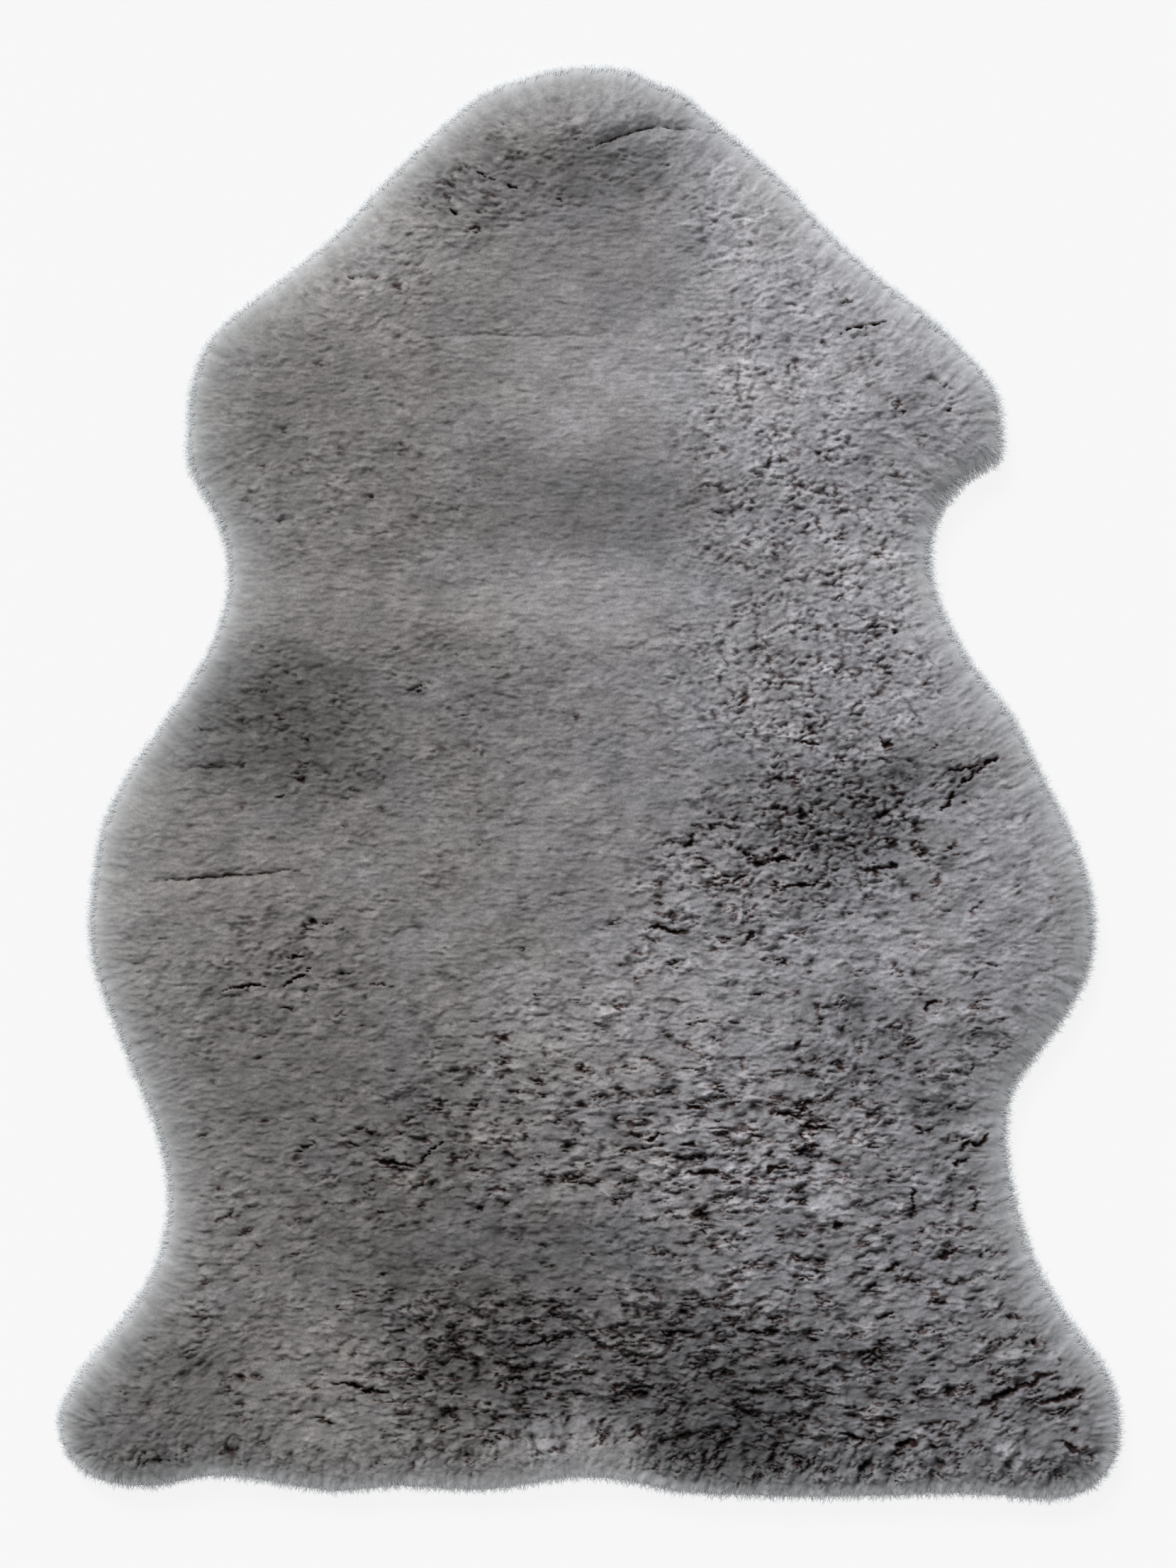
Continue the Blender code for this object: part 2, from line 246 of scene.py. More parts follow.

# Single locks that stand up, and single hollows, with a painted highlight on the locks and painted
# shade in the hollows.
SPOTS = (
    # name, across, along, reach across, reach along, tilt, rise, change of shade (painted
    # highlight and shade)
    ("crown_hollow", 6, 406, 26, 9, 12, -1.4, -0.16),
    ("crown_pit", -19, 446, 7, 4, -40, -1.6, -0.26),
    ("crown_pit_low", -8, 422, 8, 5, -65, -1.8, -0.26),
    ("crown_lock", 12, 434, 10, 7, 60, 1.4, 0.14),
    ("neck_pit_left", -74, 352, 10, 6, 0, -0.8, -0.12),
    ("armpit_notch", 237, 192, 12, 7, 30, -2.0, -0.30),
    ("haunch_lock", 228, -22, 8, 6, 20, 1.5, 0.25),
    ("haunch_hollow", 212, 4, 24, 14, 25, -2.0, -0.26),
    ("haunch_sweep", 250, 2, 26, 9, 45, -1.2, -0.14),
    ("thigh_smudge", 178, -146, 9, 17, 0, -2.0, -0.34),
    ("thigh_lock", 229, -153, 7, 6, 0, 1.5, 0.30),
    ("thigh_low_pit", 195, -170, 7, 7, 0, -1.5, -0.30),
    ("rump_hollow", 183, -255, 15, 10, 0, -2.4, -0.42),
    ("rump_flap", 160, -276, 16, 13, 60, 3.4, 0.34),
    ("waist_hollow", 228, -216, 22, 9, 0, -2.0, -0.34),
    ("waist_lock", 222, -262, 18, 12, 70, 2.0, 0.14),
    ("tail_hollow", 96, -437, 36, 12, 5, -2.0, -0.24),
    ("foot_hollow", 314, -452, 30, 10, 20, -1.5, -0.40),
    ("foot_lock", 284, -432, 16, 12, 45, 2.0, 0.18),
)

# What the fleece is like from place to place. Rough is how much it is broken into tufts
# and clefts, nubby how round these are, grey the lightness of the wool from 0 to 255, partly
# its own tone and partly painted light and shade of its swells, hollows and combing, and
# slope the way it is combed, in degrees anticlockwise from across.
REGIONS = (
    # name, across, along, reach across, reach along, rough, nubby, grey, slope
    ("crown", 0, 446, 70, 26, 0.35, 0.3, 128, 10),
    ("crown_shade", -14, 402, 56, 24, 0.50, 0.4, 98, 12),
    ("neck_left", -140, 345, 46, 46, 0.50, 0.4, 130, 40),
    ("neck_left_shade", -78, 386, 36, 18, 0.80, 0.6, 106, -16),
    ("neck_middle", 0, 345, 64, 36, 0.12, 0.2, 122, 0),
    ("neck_right", 118, 365, 46, 44, 0.50, 0.6, 154, 25),
    ("right_shoulder_front", 175, 300, 60, 40, 0.46, 0.5, 146, 15),
    ("right_shoulder", 222, 243, 40, 34, 0.50, 0.2, 136, 8),
    ("shoulder_blade", 118, 262, 44, 40, 0.50, 0.9, 152, 10),
    ("middle_of_back", 4, 258, 52, 34, 0.04, 0.2, 144, 0),
    ("left_of_back", -92, 275, 50, 40, 0.24, 0.3, 120, 0),
    ("left_shoulder", -190, 250, 50, 46, 0.24, 0.3, 112, 8),
    ("left_back", -150, 185, 60, 34, 0.42, 0.4, 112, 0),
    ("back_shade", 0, 182, 62, 32, 0.14, 0.3, 106, 0),
    ("right_back", 130, 180, 52, 38, 0.65, 0.9, 132, 20),
    ("right_waist", 196, 130, 44, 46, 0.64, 0.7, 146, 24),
    ("waist_light", -12, 122, 58, 26, 0.10, 0.2, 144, 0),
    ("left_waist", -170, 122, 66, 28, 0.14, 0.2, 120, -4),
    ("left_flank_shade", -212, 40, 60, 38, 0.54, 0.5, 80, -2),
    ("belly_left", -90, 50, 60, 44, 0.38, 0.4, 108, 4),
    ("belly_middle", 4, 20, 50, 52, 0.26, 0.3, 124, 4),
    ("right_flank", 138, 68, 60, 36, 0.68, 0.9, 132, 18),
    ("right_haunch_pit", 168, -34, 58, 36, 1.10, 0.9, 100, 14),
    ("right_haunch_tufts", 258, -46, 40, 60, 0.36, 0.0, 136, 22),
    ("haunch_sweep", 248, 3, 22, 16, 0.80, 0.2, 118, 42),
    ("haunch_split", 90, -70, 44, 28, 1.15, 0.4, 128, 6),
    ("right_haunch_low", 212, -112, 48, 34, 0.50, 0.3, 138, 6),
    ("haunch_middle", -70, -62, 90, 40, 0.28, 0.3, 118, 0),
    ("left_haunch", -262, -60, 50, 60, 0.18, 0.2, 120, 6),
    ("left_haunch_low", -214, -122, 54, 34, 0.62, 0.4, 104, 14),
    ("rump_light", 52, -150, 66, 38, 0.62, 0.3, 134, 4),
    ("right_thigh_clumps", 196, -168, 46, 28, 0.95, 0.5, 110, 30),
    ("right_thigh", 246, -220, 34, 60, 0.80, 0.2, 112, 10),
    ("left_thigh", -196, -200, 62, 40, 0.32, 0.2, 100, 2),
    ("rump_left", -110, -240, 60, 40, 0.85, 0.2, 96, 0),
    ("rump_middle", -24, -230, 50, 40, 0.84, 0.1, 116, -4),
    ("rump_right", 108, -244, 72, 40, 1.16, 0.1, 128, 6),
    ("left_low_thigh", -232, -304, 50, 44, 0.52, 0.2, 106, 18),
    ("low_middle", -70, -304, 90, 26, 0.42, 0.3, 88, 0),
    ("low_right", 170, -310, 90, 32, 0.90, 0.2, 116, 10),
    ("tail_shade_left", -76, -374, 56, 38, 1.30, 0.4, 80, 2),
    ("tail_band", 56, -366, 54, 30, 1.35, 0.3, 90, 4),
    ("tail_shade_right", 100, -412, 52, 34, 1.35, 0.3, 66, 4),
    ("left_foot_light", -172, -392, 40, 34, 0.48, 0.3, 116, 0),
    ("left_foot", -282, -410, 60, 44, 0.60, 0.2, 90, 24),
    ("tail_root", -6, -446, 34, 20, 0.45, 0.0, 138, 80),
    ("right_tail_edge", 190, -420, 52, 40, 1.15, 0.2, 102, 8),
    ("right_foot", 292, -410, 46, 44, 0.85, 0.0, 106, 24),
)
PLAIN_FLEECE = (0.35, 0.3, 116.0, 3.0)   # rough, nubby, grey and slope away from all of them
PLAIN_WEIGHT = 0.06
PATCHINESS = 0.74          # mean share of a region's roughness that its patches have
ROUGHEST = 1.35
MAP_STEP = 0.004           # spacing of the map worked out from that table

COMBED_OUT_REACH = 0.034   # how far in from the tips the wool is combed outwards
COMBED_OUT_STRENGTH = 3.0
SMOOTH_RIM = (0.008, 0.034)      # tips to where clefts begin, and to where they are full
SMOOTH_TAIL = (0.004, 0.021)     # the same at the tail edge
TAIL_BEGINS = (0.41, 0.455)      # distance from the middle towards the tail

# ---------------- the wool's small shapes

NOISE_GAIN = 1.55          # brings smooth noise to the range from about -1 to 1

# Layers of it.
NOISES = {
    # name: size across, size along, strength, seed
    "unevenness": (0.040, 0.040, 0.0024, 105),
    "patches": (0.022, 0.014, 0.60, 101),
    "small_patches": (0.010, 0.007, 0.35, 100),
    "combing": (0.030, 0.020, 0.30, 102),
    "wander_across": (0.009, 0.009, 0.0016, 108),
    "wander_across_fine": (0.0035, 0.0035, 0.0012, 106),
    "wander_along": (0.009, 0.009, 0.0014, 109),
    "wander_along_fine": (0.0035, 0.0035, 0.0010, 107),
    "parting_drift": (0.012, 0.012, 0.0020, 103),
    "parting_wobble": (0.004, 0.004, 0.0009, 104),
    "parting_breaks": (0.0065, 0.0065, 1.0, 117),
    "deep_cleft_bends": (0.0075, 0.0075, 0.0018, 119),
    "deep_cleft_wobble": (0.0032, 0.0032, 0.0010, 133),
    "deep_cleft_necks": (0.0046, 0.0040, 0.80, 134),
    "crack_gaps": (0.0130, 0.0080, 1.0, 160),
    "crack_wobble": (0.0036, 0.0026, 0.30, 171),
    "swell": (0.010, 0.006, 0.0012, 113),
    "small_swell": (0.0042, 0.0028, 0.00045, 114),
    "shade": (0.028, 0.020, 0.06, 130),
    "small_shade": (0.011, 0.008, 0.055, 131),
    "tint": (0.05, 0.04, 0.3, 132),
}

# Overlapping tufts: the lattice cell they stand in, their own length and width, and a seed.
CLUMPS = ((0.0125, 0.0080), 0.0185, 0.0118, 118)
LONG_TUFTS = ((0.0062, 0.0034), 0.0095, 0.0052, 110)
ROUND_TUFTS = ((0.0040, 0.0034), 0.0052, 0.0046, 111)
NUBS = ((0.0027, 0.0021), 0.0036, 0.0028, 112)
CLUMP_RISE = 0.0032        # heights where the fleece is rough
TUFT_RISE = 0.0026
NUB_RISE = 0.0008
SMOOTH_RISE = 0.0002       # height of tufts and nubs where it is smooth
TUFT_TURN = 0.8            # spread of their directions, in radians
TUFT_STEPS = 0.9           # spread of their heights, over their own rise
TUFT_BEND = 0.9            # most that one is bent sideways
TUFT_LIMITS = (-0.4, 1.4)
TUFT_MIDDLE = 0.75         # the mean height, which lies level with the fleece
FLATTER_NUBS = 0.55        # share of its clumps that nubby wool lacks
PEBBLES = 0.18             # the tufts that nubby wool has where it isn't rough
PEBBLES_BEGIN = (0.006, 0.030)

# Lens-shaped clefts between tufts, in layers from large to small.
CLEFTS = (
    # cell, length, width, depth, spread of direction, shares in smooth and rough wool, seed
    (8.8, 16.0, 1.9, 1.00, 0.30, 0.00, 0.80, 120),
    (7.4, 12.0, 1.7, 1.00, 0.42, 0.00, 0.72, 121),
    (5.8, 8.6, 1.4, 0.85, 0.55, 0.03, 0.62, 122),
    (5.2, 5.4, 1.3, 0.80, 0.65, 0.03, 0.46, 123),
    (3.6, 3.0, 1.1, 0.55, 0.90, 0.08, 0.32, 124),
)
CLEFT_DEPTH = 0.0032       # depth of the deepest
CLEFT_LIP = 0.0006         # swelling of the wool under a cleft
CLEFT_LENGTHS = (0.45, 1.45)     # least and greatest, over the layer's own
CLEFT_WIDTHS = (0.55, 1.45)
CLEFT_DEPTHS = (0.25, 1.0)
SHORT_COMMONER = 1.5       # powers that make short and shallow clefts commoner than others
SHALLOW_COMMONER = 1.3
CLEFT_DEPTHS_BY_ROUGHNESS = (0.15, 1.0)
CLEFT_BEND = 0.7
CLEFT_BLUNTNESS = 0.6
CLEFT_BOTTOM = 0.25        # its deepest line, from its middle, over its half width
CLEFT_FOOT = 1.6           # reach of its gentle bank, the same way, and how that is curved
CLEFT_FOOT_CURVE = 1.4
LIP_PLACE = 2.0
LIP_WIDTH = 0.7
CLEFT_WANDER = 0.6         # share of the tufts' wandering that clefts share
CLEFTS_AMONG_NUBS = (0.76, 0.56)   # shares of its depth in even and in nubby wool
CLEFTS_ON_CLUMPS = 0.35    # and of that on top of the clumps
CRACKS_ON_CLUMPS = 0.30
CALM_LOCKS = 0.8           # share of the clefts that a single lock closes

# Noise drawn out along the combing is worked out in several directions, and each place
# takes those nearest to its own.
TILT_STEP = 25             # degrees
TILTS = range(-50, 125, TILT_STEP)
CRACK_GRAIN = (0.0180, 0.0046, 161)   # length, spacing and seed
CRACK_SHARPNESS = 5.0
CRACK_DEPTH = 0.0032
CRACKS_BEGIN = (0.45, 0.95)      # roughness at which cracks begin, and are full
CRACKS_BY_ROUGHNESS = (2.2, 0.2, 1.0)
FEWER_CRACKS_IN_NUBS = 0.6
STREAK_RISE = 0.00045
STREAKS = (
    # strength, and then length, width and seed
    (1.0, (0.0130, 0.0024, 181)),
    (0.6, (0.0065, 0.0012, 191)),
)

# Strands of loose wool at the rim: width, length over which they change, strength and seed.
STRANDS = ((0.0060, 0.05, 0.9, 115), (0.0025, 0.03, 0.5, 116))
STRAND_RISE = 0.0009
STRAND_SHADE = 0.09
STRAND_PALENESS = 0.28
COMBED_RIM = (0.045, 0.015)      # tips to where strands begin, and to where they are full

# ---------------- colours

GAMMA = 2.2                # power that turns a lightness into an amount of light
BODY_GREY = 118.0          # the lightness, from 0 to 255, that these two stand for
WARM_WOOL = (0.184, 0.175, 0.171, 1.0)    # on the rug's left side
COOL_WOOL = (0.177, 0.175, 0.188, 1.0)    # on its right side
COOL_SIDES = (-0.20, 0.22)
# Colour of the pale rim: the wool's own paler tips, with a painted glow of light through them.
PALE_TIP_AND_GLOW_COLOUR = (0.790, 0.820, 0.840, 1.0)
PAINTED_SHADE_RAMP = (
    # painted shade of the clefts, slits, cracks and hollows between tufts: how deep in it, what is
    # left of the wool's colour, darker and browner the deeper
    (0.00, (1.00, 1.00, 1.00, 1.0)),
    (0.14, (0.78, 0.76, 0.75, 1.0)),
    (0.34, (0.37, 0.285, 0.265, 1.0)),
    (0.64, (0.075, 0.040, 0.035, 1.0)),
)
# Paleness of the outermost wool and how far in it reaches, and the same at the tail edge;
# then both for the wider band inside it. It is partly the wool's own paler tips and partly a
# painted glow of light through the loose fibres, painted stronger at the tail edge, whose wall
# faces away from the key.
PALE_TIP_AND_GLOW_BANDS = (
    ((1.20, 0.0038), (1.85, 0.0051)),
    ((0.34, 0.017), (0.12, 0.015)),
)
WALL_PALE = 0.35           # share of it that is left low on the rim's wall, painted darker there, where wool shades wool
WALL_HEIGHTS = (0.011, 0.0215)
UNDER_PALE = 0.60          # share of that which is left under the fullest line, painted darker there, in the shade under the rim
TIP_PALE = (0.45, 1.0)     # paleness, partly painted glow, of the tips of fibres over the wool, and beyond it
TIP_REACH = (0.0050, 0.0010)
LOW_TIP_PALE = 0.60        # share of it at tips under the fullest line, painted darker there, in the shade under the rim
HIDE_COLOUR = (0.50, 0.47, 0.42)
# Fine noise in the materials: its scale, detail and roughness, the range of it that is
# used, and the shades that it gives.
WOOL_GRAIN = ((820.0, 3.0, 0.62), (0.25, 0.75), (0.76, 1.24))
WOOL_MOTTLE = ((230.0, 3.0, 0.65), (0.25, 0.75), (0.84, 1.17))
HIDE_NAP = ((900.0, 4.0, 0.70), (0.30, 0.70), (0.92, 1.06))
HIDE_CLOUDS = ((14.0, 4.0, 0.60), (0.30, 0.70), (0.86, 1.10))
WOOL_BUMP = (0.40, 0.0006) # strength and depth of the relief that the noise gives
HIDE_BUMP = (0.35, 0.0004)
FLOOR_COLOUR = (0.05, 0.05, 0.05, 1.0)
FLOOR_GLOW = 0.878

# ---------------- loose fibres of the rim

FIBRES = 31000
FIBRE_SEED = 150
FIBRE_INSET = (0.0036, 0.0105)   # tips of the outline to the fibres' roots
FIBRE_LENGTH = (0.0050, 0.0115)
FIBRE_WIDTH = (0.00024, 0.00042)
FIBRE_LEAN = 0.28                # spreads of their sideways lean and curl, over their length
FIBRE_CURL = 0.25
FIBRE_LIFT = (0.25, 0.85)        # rise out of the wool, over their length
FIBRE_DROOP = 0.35               # share of that lost at the tip
ROOT_DEPTH = 0.0012
TAIL_FIBRES_SHORTER = 0.14       # share by which they are shorter at the tail edge
LOW_FIBRES = 0.40                # share of them that grow under the fullest line
LOW_FIBRE_HEIGHTS = (0.002, 0.010)
LOW_FIBRE_UPRIGHT = 0.05
FLOOR_CLEARANCE = (0.0006, 0.0021)   # least height of a fibre's root and tip
FIBRE_SHADES = (0.85, 1.15)
FIBRE_ROWS = ((0.0, 0.8), (0.40, 1.0), (0.75, 0.7), (1.0, 0.0))  # place along it, width

# ---------------- floor, light and camera

FLOOR_SIZE = 30.0
FLOOR_DROP = 0.0002              # floor's surface under the hide, so that they don't touch
PHOTO_WIDTH = 1659
PHOTO_HEIGHT = 2212
METRES_PER_PIXEL = 0.0004694
PHOTO_MIDDLE = (831.0, 1105.5)   # the pixel that lies over the rug's origin
CAMERA_HEIGHT = 3.0
CAMERA_REACH = 50.0
SENSOR = 36.0
KEY_STRENGTH = 3.2
KEY_SOFTNESS = math.radians(22.0)
KEY_FROM = (-0.42, 0.95, 0.95)
SKY_STRENGTH = 0.40


# ================ random fields

def random_tables(seed, count):
    """Tables of even random numbers from 0 to 1."""
    return np.random.default_rng(seed).random((count, TABLE, TABLE))


def smooth_noise(across, along, seed):
    """Gradient noise from about -1 to 1, with features one unit wide."""
    turn = random_tables(seed, 1)[0] * 2.0 * math.pi
    column = np.floor(across).astype(int)
    row = np.floor(along).astype(int)
    right = across - column
    up = along - row
    ease_right = right ** 3 * (right * (right * 6 - 15) + 10)
    ease_up = up ** 3 * (up * (up * 6 - 15) + 10)
    total = np.zeros_like(right)
    for i in (0, 1):
        for j in (0, 1):
            angle = turn[(column + i) % TABLE, (row + j) % TABLE]
            slope = np.cos(angle) * (right - i) + np.sin(angle) * (up - j)
            weight_right = ease_right if i else 1.0 - ease_right
            weight_up = ease_up if j else 1.0 - ease_up
            total += slope * weight_right * weight_up
    return total * NOISE_GAIN


def noise(across, along, name):
    """One of the named layers of smooth noise, at its own size and strength."""
    size_across, size_along, strength, seed = NOISES[name]
    return strength * smooth_noise(across / size_across, along / size_along, seed)


def between(ends, share):
    """The value at a share of the way from one end to the other."""
    return ends[0] + (ends[1] - ends[0]) * share


def eased(value, start, end):
    """0 before start, 1 after end, and a smooth rise between."""
    share = np.clip((value - start) / (end - start), 0.0, 1.0)
    return share * share * (3.0 - 2.0 * share)


def cell_of(across, along, cell_across, cell_along):
    """Column and row of the lattice cell that each point lies in."""
    column = np.floor((across + TABLE_ORIGIN) / cell_across).astype(int)
    row = np.floor((along + TABLE_ORIGIN) / cell_along).astype(int)
    return column, row


def cell_centres(table_across, table_along, cell_across, cell_along):
    """A random place in every cell of a lattice."""
    steps = np.arange(TABLE)
    across = (steps[:, None] + table_across) * cell_across - TABLE_ORIGIN
    along = (steps[None, :] + table_along) * cell_along - TABLE_ORIGIN
    return across, along


# ================ the outline

def outline_knots():
    """The outline's own points, clockwise from the right of the crown."""
    right = [(row[2], row[0]) for row in SECTIONS]
    left = [(row[1], row[0]) for row in reversed(SECTIONS)]
    return np.array(right + list(TAIL_EDGE) + left + list(CROWN_EDGE), float) * MM


def curved_through(knots):
    """A closed centripetal Catmull-Rom curve through the knots."""
    p0, p1, p2, p3 = (np.roll(knots, shift, axis=0)[:, None] for shift in (1, 0, -1, -2))

    def gap(a, b):
        return np.sqrt(np.linalg.norm(b - a, axis=2, keepdims=True))

    t1 = gap(p0, p1)
    t2 = t1 + gap(p1, p2)
    t3 = t2 + gap(p2, p3)
    share = (np.arange(CURVE_STEPS) / CURVE_STEPS)[None, :, None]
    t = t1 + (t2 - t1) * share
    a1 = p0 + (p1 - p0) * t / t1
    a2 = p1 + (p2 - p1) * (t - t1) / (t2 - t1)
    a3 = p2 + (p3 - p2) * (t - t2) / (t3 - t2)
    b1 = a1 + (a2 - a1) * t / t2
    b2 = a2 + (a3 - a2) * (t - t1) / (t3 - t1)
    return (b1 + (b2 - b1) * (t - t1) / (t2 - t1)).reshape(-1, 2)


def spaced(line, distances):
    """Points of a line at the distances along it that a function of its length gives."""
    steps = np.linalg.norm(np.diff(line, axis=0), axis=1)
    lengths = np.concatenate([[0.0], np.cumsum(steps)])
    wanted = distances(lengths[-1])
    return np.stack([np.interp(wanted, lengths, line[:, k]) for k in (0, 1)], axis=1)


def evenly(points, count):
    """The same closed line, with its points evenly spaced."""
    closed = np.vstack([points, points[:1]])
    return spaced(closed, lambda length: np.arange(count) * length / count)


def outward(ring, reach=1):
    """Unit vectors out of a clockwise ring, square to the chords between points either side."""
    along = np.roll(ring, -reach, axis=0) - np.roll(ring, reach, axis=0)
    normal = np.stack([-along[:, 1], along[:, 0]], axis=1)
    return normal / np.linalg.norm(normal, axis=1, keepdims=True)


def shrunk(ring, distance):
    """The ring moved inwards in small steps and relaxed, so that it doesn't fold over."""
    steps = max(1, round(distance / SHRINK_STEP))
    for _ in range(steps):
        ring = ring - outward(ring, CHORD_REACH) * (distance / steps)
        for _ in range(RELAX_PASSES):
            beside = np.roll(ring, 1, axis=0) + np.roll(ring, -1, axis=0)
            ring = ring * (1.0 - 2.0 * RELAXATION) + beside * RELAXATION
    return ring


def rug_outline():
    """The line that the loosest tips reach, centred as the CAD model is."""
    ring = evenly(curved_through(outline_knots()), RING_POINTS)
    middle = (ring.min(axis=0) + ring.max(axis=0)) / 2
    low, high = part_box("sheepskin")
    return ring - middle + [(low[0] + high[0]) / 2, (low[1] + high[1]) / 2]


OUTLINE = rug_outline()


def nearest(ring, places):
    """The nearest point of a ring to each place, and its distance."""
    tree = kdtree.KDTree(len(ring))
    for number, (x, y) in enumerate(ring.tolist()):
        tree.insert((x, y, 0.0), number)
    tree.balance()
    found = [tree.find((x, y, 0.0)) for x, y in places.tolist()]
    return ring[[item[1] for item in found]], np.array([item[2] for item in found])


def nearest_tip(across, along):
    """Distance to the outline, the direction to it, and its nearest place."""
    places = np.stack([across, along], axis=1)
    tips, inset = nearest(OUTLINE, places)
    way = tips - places
    return inset, way / np.maximum(inset, 1e-6)[:, None], tips


# ================ the map of the fleece

def region_values(rough, nubby, grey, slope):
    """What the map adds up, with the combing as twice its angle, since it has no sense."""
    double = 2 * math.radians(slope)
    values = np.array([1.0, rough, nubby, grey, math.cos(double), math.sin(double)])
    return values[:, None, None]


def make_map():
    """Rough, nubby, grey and combing direction, on a grid over the whole rug."""
    steps = np.arange(-TABLE_ORIGIN, TABLE_ORIGIN, MAP_STEP)
    across, along = np.meshgrid(steps, steps, indexing="ij")
    total = region_values(*PLAIN_FLEECE) * np.full(across.shape, PLAIN_WEIGHT)
    for _, x, y, reach_x, reach_y, *values in REGIONS:
        right = (across - x * MM) / (reach_x * MM)
        up = (along - y * MM) / (reach_y * MM)
        total += region_values(*values) * np.exp(-right ** 2 - up ** 2)
    names = ("rough", "nubby", "grey", "double_cos", "double_sin")
    grids = dict(zip(names, total[1:] / total[0]))
    inset, way, _ = nearest_tip(across.ravel(), along.ravel())
    grids["inset"] = inset.reshape(across.shape)
    out_x, out_y = way.T.reshape((2,) + across.shape)
    combed_out = np.exp(-(grids["inset"] / COMBED_OUT_REACH) ** 2) * COMBED_OUT_STRENGTH
    grids["double_cos"] += combed_out * (out_x ** 2 - out_y ** 2)
    grids["double_sin"] += combed_out * 2.0 * out_x * out_y
    return grids


FLEECE_MAP = make_map()


def from_map(name, across, along):
    """A value of the map between its grid's points."""
    grid = FLEECE_MAP[name]
    column = np.clip((across + TABLE_ORIGIN) / MAP_STEP, 0, grid.shape[0] - 1.001)
    row = np.clip((along + TABLE_ORIGIN) / MAP_STEP, 0, grid.shape[1] - 1.001)
    i = column.astype(int)
    j = row.astype(int)
    right = column - i
    up = row - j
    low = grid[i, j] * (1 - right) + grid[i + 1, j] * right
    high = grid[i, j + 1] * (1 - right) + grid[i + 1, j + 1] * right
    return low * (1 - up) + high * up


def roughness_at(across, along):
    """How much the fleece is broken up: 0 is smooth, 1 is all tufts and clefts."""
    patchy = PATCHINESS + noise(across, along, "patches") + noise(across, along, "small_patches")
    at_tail = eased(-along, *TAIL_BEGINS)
    start, full = (between(ends, at_tail) for ends in zip(SMOOTH_RIM, SMOOTH_TAIL))
    rim = eased(from_map("inset", across, along), start, full)
    return np.clip(from_map("rough", across, along) * patchy, 0.0, ROUGHEST) * rim


def combing_at(across, along):
    """Direction of the combing, in radians anticlockwise from across."""
    double = np.arctan2(
        from_map("double_sin", across, along), from_map("double_cos", across, along)
    )
    return double * 0.5 + noise(across, along, "combing")


# ================ tufts, nubs and clefts

def marks_near(across, along, middles, cells, reach, angle):
    """Marks in the lattice cells around each point, and where it lies along and beside them."""
    cos, sin = np.cos(angle), np.sin(angle)
    column, row = cell_of(across, along, *cells)
    for i in range(-reach[0], reach[0] + 1):
        for j in range(-reach[1], reach[1] + 1):
            here = (column + i) % TABLE, (row + j) % TABLE
            x = across - middles[0][here]
            y = along - middles[1][here]
            yield here, x * cos[here] + y * sin[here], y * cos[here] - x * sin[here]


def tufts(across, along, kind):
    """Height of the highest of the overlapping tufts at each point, and its own shade."""
    cells, length, width, seed = kind
    table = random_tables(seed, 6)
    middles = cell_centres(table[0], table[1], *cells)
    angle = combing_at(*middles) + (table[2] - 0.5) * TUFT_TURN
    base = (table[3] - 0.5) * TUFT_STEPS
    bend = (table[5] - 0.5) * TUFT_BEND
    top = np.full(across.shape, -math.inf)
    shade = np.zeros(across.shape)
    for here, u, v in marks_near(across, along, middles, cells, (1, 2), angle):
        u = u / length
        v = v / width + bend[here] * u * u
        height = base[here] + 1.0 - 4.0 * (u * u + v * v)
        higher = height > top
        top = np.where(higher, height, top)
        shade = np.where(higher, table[4][here], shade)
    return top, shade - 0.5


def clefts(across, along, layer):
    """Depth of the lens-shaped clefts of one layer, from 0 to 1, and the lips under them."""
    cell, length, width, depth, spread, in_smooth, in_rough, seed = layer
    cells = (cell * MM, cell * MM)
    table = random_tables(seed, 8)
    middles = cell_centres(table[0], table[1], *cells)
    rough = roughness_at(*middles)
    angle = combing_at(*middles) + (table[3] - 0.5) * 2.0 * spread
    half_length = length * MM / 2 * between(CLEFT_LENGTHS, table[4] ** SHORT_COMMONER)
    half_width = width * MM / 2 * between(CLEFT_WIDTHS, table[5])
    is_there = table[2] < between((in_smooth, in_rough), rough)
    deep = depth * between(CLEFT_DEPTHS, table[6] ** SHALLOW_COMMONER) * is_there
    deep = deep * between(CLEFT_DEPTHS_BY_ROUGHNESS, rough)
    bend = (table[7] - 0.5) * CLEFT_BEND / half_length
    deepest = np.zeros(across.shape)
    lip = np.zeros(across.shape)
    for here, u, v in marks_near(across, along, middles, cells, (2, 1), angle):
        taper = np.clip(1.0 - (u / half_length[here]) ** 2, 0.0, 1.0)
        side = (v + bend[here] * u * u) / (half_width[here] * np.sqrt(taper) + 1e-7)
        steep_bank = np.clip((1.0 - side) / (1.0 - CLEFT_BOTTOM), 0.0, 1.0)
        gentle_bank = np.clip((side + CLEFT_FOOT) / (CLEFT_BOTTOM + CLEFT_FOOT), 0.0, 1.0)
        bank = np.where(side > CLEFT_BOTTOM, steep_bank, gentle_bank ** CLEFT_FOOT_CURVE)
        deepest = np.maximum(deepest, deep[here] * taper ** CLEFT_BLUNTNESS * bank)
        swollen = np.exp(-((side + LIP_PLACE) / LIP_WIDTH) ** 2)
        lip = np.maximum(lip, deep[here] * taper * swollen)
    return deepest, lip


